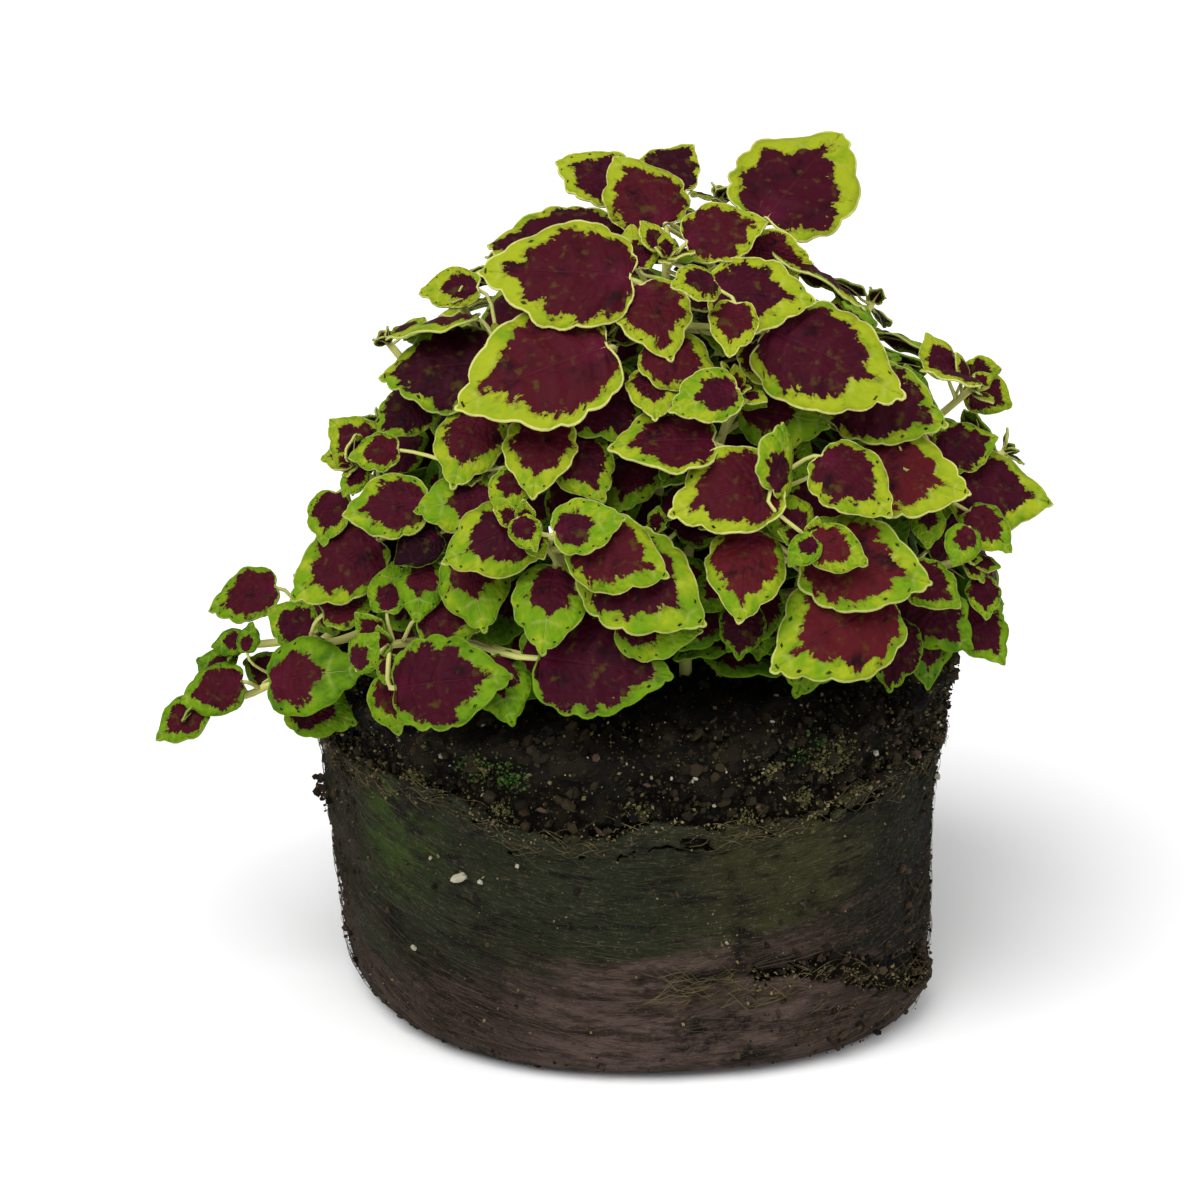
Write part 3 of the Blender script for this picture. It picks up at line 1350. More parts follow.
@dataclass(frozen=True)
class BladePattern:
    """The pattern on both faces of every leaf, as a node group: the heart with its ragged edge,
    the pale rim, dark specks at the notches, the veins and the height of the surface. All its
    sizes are shares of the blade's length.

    Args:
        form: The blade's form, for the width at each place.
        fingers: How many large fingers of the heart there are along a blade.
        tip: How much wider the margin is at the tip than at the sides.
        base: How wide the margin is at the foot, as a share of its width at the sides.
    """

    form: BladeForm
    fingers: float = 8.0
    tip: float = 1.4
    base: float = 0.55
    veins: float = 7.0
    rim: float = 0.015

    def build(self) -> bpy.types.NodeTree:
        """The node group."""
        wire, given, end = group_tree(
            "blade_pattern", {"Seed": 0.5, "Margin": 0.1},
            ["Heart", "Rim", "Speck", "Vein", "Height", "Fringe", "Foot", "Cloud"])
        uv = wire.add("UVMap", uv_map="blade").outputs[0]
        place, across, _ = wire.add("SeparateXYZ", {0: uv}).outputs
        side = wire.sum("SUBTRACT", wire.sum("MULTIPLY", across, 2.0), 1.0)
        out = wire.sum("ABSOLUTE", side)
        turned = wire.sum("COSINE", wire.sum("MULTIPLY", place, math.pi))
        share = wire.sum("SUBTRACT", 0.5, wire.sum("MULTIPLY", turned, 0.5))
        half = self.half_width(wire, share)
        gap = wire.sum("MULTIPLY", wire.sum("SUBTRACT", 1.0, out), half)
        beside = wire.sum("MULTIPLY", side, half)
        seed = wire.sum("MULTIPLY", given["Seed"], 70.0)
        spot = wire.vector(share, beside, seed)
        ragged = self.ragged(wire, spot, place)
        wider = wire.sum("ADD", 1.0, wire.sum("MULTIPLY", wire.step(share, 0.4, 0.85), self.tip))
        foot = wire.step(place, 0.02, 0.2)
        narrower = wire.sum("ADD", self.base, wire.sum("MULTIPLY", foot, 1 - self.base))
        margin = wire.sum("MULTIPLY", given["Margin"], wire.sum("MULTIPLY", wider, narrower))
        beyond = wire.sum("SUBTRACT", wire.sum("ADD", gap, ragged), margin)
        between = wire.sum("FRACT", wire.sum("MULTIPLY", place, self.veins))
        near = wire.sum("ABSOLUTE", wire.sum("SUBTRACT", between, 0.5))
        lateral = wire.sum("SUBTRACT", 1.0, wire.step(near, 0.0, 0.16))
        lateral = wire.sum("MULTIPLY", lateral, wire.sum("SUBTRACT", 1.0, wire.step(out, 0.4, 0.85)))
        midrib = wire.sum("SUBTRACT", 1.0, wire.step(out, 0.01, 0.05))
        vein = wire.sum("MAXIMUM", wire.sum("MULTIPLY", lateral, 0.55), midrib)
        cells = wire.add("TexVoronoi", {"Vector": spot, "Scale": 17.0})
        height = wire.sum("SUBTRACT", wire.sum("MULTIPLY", cells.outputs["Distance"], -1.0),
                          wire.sum("MULTIPLY", vein, 0.5))
        inner = wire.sum("SUBTRACT", 1.0, wire.step(share, 0.05, 0.45))
        results = {
            "Heart": wire.step(beyond, -0.003, 0.008),
            "Rim": wire.sum("SUBTRACT", 1.0, wire.step(gap, self.rim * 0.6, self.rim)),
            "Speck": self.specks(wire, place, gap, seed),
            "Vein": vein,
            "Height": height,
            "Fringe": wire.step(beyond, -0.045, 0.0),
            "Foot": wire.sum("MULTIPLY", inner, wire.sum("SUBTRACT", 1.0, wire.step(out, 0.02, 0.4))),
            "Cloud": wire.noise(spot, 5.0, 3.0, 0.6),
        }
        for key, socket in results.items():
            wire.feed(end.inputs[key], socket)
        return wire.tree

    def half_width(self, wire: "Wiring", share: bpy.types.NodeSocket) -> bpy.types.NodeSocket:
        """Half the blade's width at a share of its length, as the form has it."""
        a = self.form.swell
        b = a * (1 - self.form.widest_at) / self.form.widest_at
        peak = self.form.widest_at ** a * (1 - self.form.widest_at) ** b
        rising = wire.sum("POWER", share, a)
        falling = wire.sum("POWER", wire.sum("SUBTRACT", 1.0, share, clamp=True), b)
        return wire.sum("MULTIPLY", wire.sum("MULTIPLY", rising, falling), 0.5 * self.form.width_share / peak)

    def ragged(self, wire: "Wiring", spot: bpy.types.NodeSocket, place: bpy.types.NodeSocket) -> bpy.types.NodeSocket:
        """How far the heart's edge is moved out: large fingers, small jags and finer ones."""
        total = wire.sum("MULTIPLY", wire.sum("COSINE", wire.sum("MULTIPLY", place, 2 * math.pi * self.fingers)), 0.014)
        for scale, size in ((self.fingers, 0.22), (self.fingers * 3.4, 0.12), (self.fingers * 9, 0.045)):
            grain = wire.sum("SUBTRACT", wire.noise(spot, scale, 1.0), 0.5)
            total = wire.sum("ADD", total, wire.sum("MULTIPLY", grain, size))
        return total

    def specks(self, wire: "Wiring", place: bpy.types.NodeSocket, gap: bpy.types.NodeSocket,
               seed: bpy.types.NodeSocket) -> bpy.types.NodeSocket:
        """Dark specks in a row just inside the rim, where there are notches."""
        step = wire.sum("MULTIPLY", place, self.fingers)
        near = wire.sum("ABSOLUTE", wire.sum("SUBTRACT", wire.sum("FRACT", wire.sum("ADD", step, 0.5)), 0.5))
        level = wire.sum("ABSOLUTE", wire.sum("SUBTRACT", gap, 0.05))
        reach = wire.sum("ADD", wire.sum("MULTIPLY", near, 0.14), level)
        number = wire.vector(wire.sum("ROUND", step), seed, 0.0)
        lot = wire.add("TexWhiteNoise", {"Vector": number}).outputs["Value"]
        dot = wire.sum("SUBTRACT", 1.0, wire.step(reach, 0.011, 0.02))
        return wire.sum("MULTIPLY", dot, wire.sum("GREATER_THAN", lot, 0.55))


def grain_group() -> bpy.types.NodeTree:
    """A node group for earthy surfaces: blotches and fine grain from 0 to 1, and their height."""
    wire, given, end = group_tree("grain", {"Coarse": 120.0, "Fine": 1400.0}, ["Blotch", "Grain", "Height"])
    place = wire.add("TexCoord").outputs["Object"]
    blotch = wire.noise(place, given["Coarse"], 3.0, 0.6)
    grain = wire.noise(place, given["Fine"], 4.0, 0.65)
    height = wire.sum("ADD", wire.sum("MULTIPLY", blotch, 0.5), grain)
    for key, socket in {"Blotch": blotch, "Grain": grain, "Height": height}.items():
        wire.feed(end.inputs[key], socket)
    return wire.tree


@dataclass(frozen=True)
class LeafFinish:
    """One face of the leaves.

    Args:
        name: The material's name.
        shaded: The green of leaves in the shade.
        open: The green of leaves in the open.
        sunny: The green of the topmost leaves.
        heart: The heart's colour.
        heart_red: The heart's colour in redder leaves.
        heart_dark: The heart's colour in the darkest leaves, and its blotches.
        heart_foot: The heart's colour along the midrib near the petiole.
        fringe: The olive in which the green meets the heart.
        vein: The veins' colour in the heart.
        rim: The colour of the thin rim.
        roughness: How rough the face is.
    """

    name: str
    shaded: tuple[float, float, float]
    open: tuple[float, float, float]
    sunny: tuple[float, float, float]
    heart: tuple[float, float, float]
    heart_red: tuple[float, float, float]
    heart_dark: tuple[float, float, float]
    heart_foot: tuple[float, float, float]
    fringe: tuple[float, float, float]
    vein: tuple[float, float, float]
    rim: tuple[float, float, float]
    roughness: float

    def build(self, pattern: bpy.types.NodeTree) -> bpy.types.Material:
        """The material, with the blade pattern in it."""
        material = bpy.data.materials.new(self.name)
        material.use_nodes = True
        wire = Wiring(material.node_tree)
        shader = material.node_tree.nodes["Principled BSDF"]
        tone = wire.add("Attribute", attribute_name="tone")
        seed, margin, sun = wire.add("SeparateColor", {0: tone.outputs["Color"]}).outputs
        blade = wire.add("Group", node_tree=pattern)
        wire.feed(blade.inputs["Seed"], seed)
        wire.feed(blade.inputs["Margin"], margin)
        mottle = wire.noise(wire.stretched((1, 1, 1)), 420.0, 3.0)
        green = self.green(wire, blade, sun)
        red = self.red(wire, blade, tone.outputs["Alpha"], mottle)
        colour = wire.mix(blade.outputs["Heart"], green, red)
        colour = wire.mix(blade.outputs["Speck"], colour, self.heart_dark)
        pale = wire.mix(wire.step(sun, 0.25, 0.95), self.open, self.rim)
        colour = wire.mix(wire.sum("MULTIPLY", blade.outputs["Rim"], 0.75), colour, pale)
        wire.feed(shader.inputs["Base Color"], colour)
        rough = wire.sum("MULTIPLY", wire.sum("SUBTRACT", mottle, 0.5), 0.3)
        wire.feed(shader.inputs["Roughness"], wire.sum("ADD", self.roughness, rough))
        bump = wire.add("Bump", {"Height": blade.outputs["Height"], "Strength": 0.8, "Distance": 0.4 * MM})
        wire.feed(shader.inputs["Normal"], bump.outputs[0])
        shader.inputs["Specular IOR Level"].default_value = 0.06
        return material

    def green(self, wire: "Wiring", blade: bpy.types.Node, sun: bpy.types.NodeSocket) -> bpy.types.NodeSocket:
        """The green, yellower towards the sun and duller where it meets the heart."""
        cloud = wire.sum("MULTIPLY", wire.sum("SUBTRACT", blade.outputs["Cloud"], 0.5), 1.5)
        lit = wire.sum("ADD", sun, cloud, clamp=True)
        green = wire.mix(wire.step(lit, 0.0, 0.5), self.shaded, self.open)
        green = wire.mix(wire.step(lit, 0.45, 1.0), green, self.sunny)
        green = wire.mix(wire.sum("MULTIPLY", blade.outputs["Fringe"], 0.45), green, self.fringe)
        return wire.mix(wire.sum("MULTIPLY", blade.outputs["Vein"], 0.2), green, self.rim)

    def red(self, wire: "Wiring", blade: bpy.types.Node, dark: bpy.types.NodeSocket,
            mottle: bpy.types.NodeSocket) -> bpy.types.NodeSocket:
        """The heart's red, blotched, and brighter along the midrib near the petiole."""
        red = wire.mix(wire.step(dark, 0.5, 0.15), self.heart, self.heart_red)
        red = wire.mix(wire.step(dark, 0.45, 1.0), red, self.heart_dark)
        red = wire.mix(wire.step(blade.outputs["Cloud"], 0.5, 0.75), red, self.heart_dark)
        red = wire.mix(wire.sum("MULTIPLY", wire.step(mottle, 0.55, 0.75), 0.6), red, self.fringe)
        red = wire.mix(wire.sum("MULTIPLY", blade.outputs["Foot"], 0.55), red, self.heart_foot)
        return wire.mix(wire.sum("MULTIPLY", blade.outputs["Vein"], 0.3), red, self.vein)


@dataclass(frozen=True)
class StalkFinish:
    """The stems and petioles: pale green, yellower towards the light."""

    low: tuple[float, float, float] = (0.07, 0.13, 0.012)
    high: tuple[float, float, float] = (0.24, 0.34, 0.03)
    roughness: float = 0.45

    def build(self) -> bpy.types.Material:
        """The material."""
        material = bpy.data.materials.new("stalk")
        material.use_nodes = True
        wire = Wiring(material.node_tree)
        shader = material.node_tree.nodes["Principled BSDF"]
        place = wire.add("TexCoord").outputs["Object"]
        height = wire.add("SeparateXYZ", {0: place}).outputs[2]
        rise = wire.step(height, 0.08, 0.17)
        cloud = wire.noise(wire.stretched((1, 1, 1)), 160.0, 3.0)
        share = wire.sum("ADD", wire.sum("MULTIPLY", rise, 0.8), wire.sum("MULTIPLY", cloud, 0.3))
        wire.feed(shader.inputs["Base Color"], wire.mix(share, self.low, self.high))
        shader.inputs["Roughness"].default_value = self.roughness
        fine = wire.noise(wire.stretched((1, 1, 0.25)), 2600.0, 2.0)
        bump = wire.add("Bump", {"Height": fine, "Strength": 0.3, "Distance": 0.1 * MM})
        wire.feed(shader.inputs["Normal"], bump.outputs[0])
        return material


@dataclass(frozen=True)
class EarthFinish:
    """A rough, earthy surface of three colours.

    Args:
        name: The material's name.
        base: Its usual colour.
        blotch: The colour of its blotches, or of some of its beads where they have a tone.
        fleck: The colour of its finest flecks.
        coarse: How many blotches it has along a metre.
        fine: How many grains it has along a metre.
        flecks: How much of it is flecked.
        bump: The height of its grain.
        toned: Whether the tone of each bead, and not a blotch, says which colour it has.
        roughness: How rough it is.
    """

    name: str
    base: tuple[float, float, float]
    blotch: tuple[float, float, float]
    fleck: tuple[float, float, float]
    coarse: float = 120.0
    fine: float = 1400.0
    flecks: float = 0.3
    bump: float = 0.5 * MM
    toned: bool = False
    roughness: float = 0.95

    def build(self, grain: bpy.types.NodeTree) -> bpy.types.Material:
        """The material, with the grain group in it."""
        material = bpy.data.materials.new(self.name)
        material.use_nodes = True
        wire = Wiring(material.node_tree)
        shader = material.node_tree.nodes["Principled BSDF"]
        group = wire.add("Group", node_tree=grain)
        group.inputs["Coarse"].default_value = self.coarse
        group.inputs["Fine"].default_value = self.fine
        wire.feed(shader.inputs["Base Color"], self.colour(wire, group))
        shader.inputs["Roughness"].default_value = self.roughness
        shader.inputs["Specular IOR Level"].default_value = 0.1
        height = self.relief(wire, group)
        bump = wire.add("Bump", {"Height": height, "Strength": 0.9, "Distance": self.bump})
        wire.feed(shader.inputs["Normal"], bump.outputs[0])
        return material

    def relief(self, wire: Wiring, group: bpy.types.Node) -> bpy.types.NodeSocket:
        """The height of the surface."""
        return group.outputs["Height"]

    def colour(self, wire: Wiring, group: bpy.types.Node) -> bpy.types.NodeSocket:
        """The colour over the surface."""
        if self.toned:
            tone = wire.add("Attribute", attribute_name="tone").outputs["Color"]
            share = wire.add("SeparateColor", {0: tone}).outputs[0]
        else:
            share = wire.step(group.outputs["Blotch"], 0.4, 0.65)
        colour = wire.mix(share, self.base, self.blotch)
        low = 0.72 - 0.4 * self.flecks
        return wire.mix(wire.step(group.outputs["Grain"], low, low + 0.08), colour, self.fleck)


@dataclass(frozen=True)
class FeltFinish(EarthFinish):
    """The felt of roots: green with algae above, mauve brown below, in fibres that follow the
    way it is wrapped round the ball.

    Args:
        ball: The root ball, whose drift the fibres follow.
        green: The algae's colour.
        olive: The colour of the green part towards the right.
        moss: The colour of the bright patch at the upper left.
        shade: The colour of the dark streaks and blotches.
        flank: The colour of the dark right flank.
        border: The height of the border between green and brown under the middle of the front.
        slope: How steeply that border rises to the right.
        moss_place: The middle of the bright patch.
        moss_reach: The reach of the bright patch.
        clean_x: Where the brown part is cleanest, from the ball's middle to the right.
        crease_height: The height of the dark crease that runs left from the slit.
    """

    ball: "RootBall | None" = None
    green: tuple[float, float, float] = (0.02, 0.023, 0.0115)
    olive: tuple[float, float, float] = (0.034, 0.033, 0.012)
    moss: tuple[float, float, float] = (0.034, 0.062, 0.008)
    shade: tuple[float, float, float] = (0.007, 0.006, 0.0045)
    flank: tuple[float, float, float] = (0.0065, 0.008, 0.0065)
    border: float = 30 * MM
    slope: float = 0.2
    moss_place: tuple[float, float, float] = (-0.052, -0.048, 0.052)
    moss_reach: float = 21 * MM
    clean_x: float = 9 * MM
    crease_height: float = 26 * MM

    def colour(self, wire: Wiring, group: bpy.types.Node) -> bpy.types.NodeSocket:
        """The colour over the surface."""
        place = wire.add("TexCoord").outputs["Object"]
        x, y, z = wire.add("SeparateXYZ", {0: place}).outputs
        level = wire.sum("SUBTRACT", z, self.drift(wire, x))
        cloth = wire.vector(x, y, wire.sum("MULTIPLY", level, 5.0))
        cloud = wire.noise(cloth, 26.0, 4.0, 0.65)
        rise = wire.sum("SUBTRACT", z, wire.sum("MULTIPLY", x, self.slope))
        rise = wire.sum("ADD", rise, wire.sum("MULTIPLY", wire.sum("SUBTRACT", cloud, 0.5), 34 * MM))
        blotch = wire.noise(cloth, 60.0, 4.0, 0.7)
        brown = wire.mix(wire.step(blotch, 0.42, 0.62), self.base, self.blotch)
        aside = wire.sum("ABSOLUTE", wire.sum("SUBTRACT", x, self.clean_x))
        aside = wire.sum("ADD", aside, wire.sum("MULTIPLY", cloud, 30 * MM))
        soiled = wire.step(aside, 32 * MM, 55 * MM)
        brown = wire.mix(wire.sum("MULTIPLY", soiled, 0.6), brown, self.blotch)
        spots = wire.step(wire.noise(cloth, 110.0, 4.0, 0.75), 0.47, 0.6)
        brown = wire.mix(wire.sum("MULTIPLY", wire.sum("MULTIPLY", soiled, spots), 0.75), brown, self.shade)
        right = wire.sum("ADD", wire.step(x, -20 * MM, 45 * MM), wire.sum("MULTIPLY", cloud, 0.6))
        green = wire.mix(wire.step(right, 0.55, 1.25), self.green, self.olive)
        green = wire.mix(wire.step(blotch, 0.5, 0.68), green, self.shade)
        away = wire.add("VectorMath", {0: place, 1: self.moss_place}, operation="DISTANCE").outputs["Value"]
        near = wire.sum("SUBTRACT", 1.0, wire.step(away, self.moss_reach * 0.2, self.moss_reach))
        patch = wire.sum("MULTIPLY", near, wire.step(wire.noise(cloth, 80.0, 3.0, 0.7), 0.35, 0.6))
        green = wire.mix(patch, green, self.moss)
        colour = wire.mix(wire.step(rise, self.border - 3 * MM, self.border + 3 * MM), brown, green)
        waver = wire.sum("MULTIPLY", wire.sum("SUBTRACT", cloud, 0.5), 30 * MM)
        left = wire.step(wire.sum("SUBTRACT", waver, x), 56 * MM, 66 * MM)
        colour = wire.mix(wire.sum("MULTIPLY", left, 0.7), colour, self.blotch)
        crease = wire.sum("ABSOLUTE", wire.sum("SUBTRACT", wire.sum("ADD", z, wire.sum("MULTIPLY", waver, 0.25)),
                                               self.crease_height))
        crease = wire.sum("MULTIPLY", wire.sum("SUBTRACT", 1.0, wire.step(crease, 0.6 * MM, 2.6 * MM)),
                          wire.step(x, -4 * MM, 14 * MM))
        front = wire.sum("SUBTRACT", 1.0, wire.step(y, -50 * MM, -40 * MM))
        colour = wire.mix(wire.sum("MULTIPLY", wire.sum("MULTIPLY", crease, front), 0.8), colour, self.shade)
        far = wire.sum("ADD", x, waver)
        above = wire.sum("MULTIPLY", wire.step(far, 44 * MM, 56 * MM), wire.step(z, 13 * MM, 19 * MM))
        colour = wire.mix(wire.sum("MULTIPLY", above, 0.85), colour, self.flank)
        dark = wire.noise(wire.stretched((1, 1, 1.6)), 38.0, 5.0, 0.7)
        colour = wire.mix(wire.step(dark, 0.54, 0.66), colour, self.shade)
        fibre = wire.noise(cloth, 420.0, 3.0, 0.75)
        colour = wire.mix(wire.sum("MULTIPLY", wire.step(fibre, 0.54, 0.7), 0.4), colour, self.fleck)
        colour = wire.mix(wire.sum("MULTIPLY", wire.step(fibre, 0.46, 0.3), 0.6), colour, self.shade)
        speckle = wire.noise(place, 1500.0, 2.0, 0.6)
        return wire.mix(wire.sum("MULTIPLY", wire.step(speckle, 0.6, 0.72), 0.35), colour, self.fleck)

    def relief(self, wire: Wiring, group: bpy.types.Node) -> bpy.types.NodeSocket:
        """The height of the surface, matted along its fibres."""
        x, y, z = wire.add("SeparateXYZ", {0: wire.add("TexCoord").outputs["Object"]}).outputs
        level = wire.sum("SUBTRACT", z, self.drift(wire, x))
        cloth = wire.vector(x, y, wire.sum("MULTIPLY", level, 5.0))
        matted = wire.sum("ADD", wire.noise(cloth, 380.0, 3.0, 0.7), wire.noise(cloth, 130.0, 3.0, 0.6))
        return wire.sum("ADD", wire.sum("MULTIPLY", matted, 1.4), group.outputs["Height"])

    def drift(self, wire: Wiring, x: bpy.types.NodeSocket) -> bpy.types.NodeSocket:
        """How much higher the fibres run at this x than at the middle of the front."""
        left, right = self.ball.drift_left, self.ball.drift_right
        share = wire.sum("GREATER_THAN", x, 0.0)
        bow = wire.sum("ADD", left, wire.sum("MULTIPLY", share, right - left))
        return wire.sum("MULTIPLY", bow, wire.sum("MULTIPLY", x, x))


# The root ball

@dataclass(frozen=True)
class RootBall:
    """The sizes of the root ball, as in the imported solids."""

    top_radius: float = 74 * MM
    base_radius: float = 66 * MM
    height: float = 80 * MM
    edge_radius: float = 9 * MM
    mound: float = 5 * MM
    mat: float = 2 * MM
    gap: float = 0.5 * MM
    corner: float = 0.12
    corner_turn: float = -0.65
    corner_reach: float = 0.5
    drift_left: float = 4.0
    drift_right: float = 1.0
    shoulder: float = 3.5 * MM
    # The felt's torn upper edge: degrees round the ball, anticlockwise from the right, and height
    mat_edge: tuple[tuple[float, float], ...] = (
        (-180, 61), (-166, 62), (-142, 64), (-125, 66), (-108, 59), (-96, 59.5), (-87, 63), (-65, 60),
        (-46, 64), (-26, 62), (0, 59), (30, 64), (60, 61), (95, 65), (125, 60), (160, 63), (180, 61),
    )
    # The slit torn in it: degrees round the ball, height, and half its width there
    slit: tuple[tuple[float, float, float], ...] = (
        (-72, 25.5, 0.3), (-60, 25, 1.2), (-48, 20, 2.2), (-36, 15, 2.8), (-22, 12, 3),
    )

    def wall_radius(self, height: np.ndarray | float) -> np.ndarray | float:
        """The ball's radius at this height, before its foot is rounded."""
        return self.base_radius + (self.top_radius - self.base_radius) * height / self.height

    def base_profile(self, inset: float, rings: int, points: int) -> list[tuple[float, float]]:
        """Radius and height of points from the middle of the base, round its edge, to the wall.

        Args:
            inset: How far the profile lies inside the ball.
            rings: How many points the flat base has.
            points: How many points the rounded edge has.

        Returns:
            The points, from the middle of the base outwards.
        """
        middle = self.wall_radius(self.edge_radius) - self.edge_radius
        radius = self.edge_radius - inset
        found = [(middle * share, inset) for share in np.linspace(0, 1, rings)]
        for i in range(1, points + 1):
            turn = math.pi / 2 * i / points
            found.append((middle + radius * math.sin(turn), self.edge_radius - radius * math.cos(turn)))
        return found

    def lobed(self, points: np.ndarray) -> np.ndarray:
        """Points of the even root ball moved to the real one: its foot bulges in front, and most
        of all at the front right, and its right flank has a dent."""
        turn = np.arctan2(points[:, 1], points[:, 0])
        low = np.maximum(0, 1 - points[:, 2] / self.height)
        dent = np.exp(-((points[:, 2] - 42 * MM) / (26 * MM)) ** 2) * np.maximum(0, np.cos(turn + 0.2)) ** 3
        corner = low ** 2 * np.exp(-((turn - self.corner_turn) / self.corner_reach) ** 2)
        swell = 0.025 * low * np.cos(turn + 1.6) - 0.035 * dent + self.corner * corner
        swell += 0.008 * np.sin(3 * turn + 1) + 0.006 * np.sin(5 * turn)
        moved = points.copy()
        moved[:, :2] *= (1 + swell)[:, None]
        return moved

    def edge_height(self, turn: np.ndarray) -> np.ndarray:
        """The height of the felt's upper edge at these turns round the ball."""
        degrees, heights = (np.array(values) for values in zip(*self.mat_edge))
        at = np.degrees(turn)
        index = np.clip(np.searchsorted(degrees, at) - 1, 0, len(degrees) - 2)
        share = (at - degrees[index]) / (degrees[index + 1] - degrees[index])
        share = 0.5 - 0.5 * np.cos(math.pi * share)
        return (heights[index] + (heights[index + 1] - heights[index]) * share) * MM

    def drift(self, x: np.ndarray) -> np.ndarray:
        """How much higher the felt's fibres run at this x than at the middle of the front."""
        return np.where(x < 0, self.drift_left, self.drift_right) * x ** 2

    def soil_height(self, radius: np.ndarray | float) -> np.ndarray | float:
        """The height of the soil's top at this radius."""
        share = radius / self.top_radius
        return self.height + self.mound * (1 - share ** 2) - self.shoulder * share ** 14

    def slit_at(self, turn: np.ndarray) -> tuple[np.ndarray, np.ndarray]:
        """The height of the slit's middle, and half its width, at these turns."""
        degrees, heights, halves = zip(*self.slit)
        at = np.degrees(turn)
        half = np.interp(at, degrees, halves, left=-9, right=-9)
        return np.interp(at, degrees, heights) * MM, half * MM

    def on_wall(self, turn: np.ndarray, height: np.ndarray, out: np.ndarray | float) -> np.ndarray:
        """Points at these turns and heights, this far out of the felt's face.

        Args:
            turn: The turns round the ball.
            height: The heights.
            out: How far the points stand out of the wall.

        Returns:
            One row for each point.
        """
        low = np.clip((self.edge_radius - height) / self.edge_radius, 0, 1)
        radius = self.wall_radius(height) - self.edge_radius * (1 - np.sqrt(1 - low ** 2)) + out
        flat = np.stack([radius * np.cos(turn), radius * np.sin(turn), height], axis=-1)
        return self.lobed(flat.reshape(-1, 3)).reshape(flat.shape)


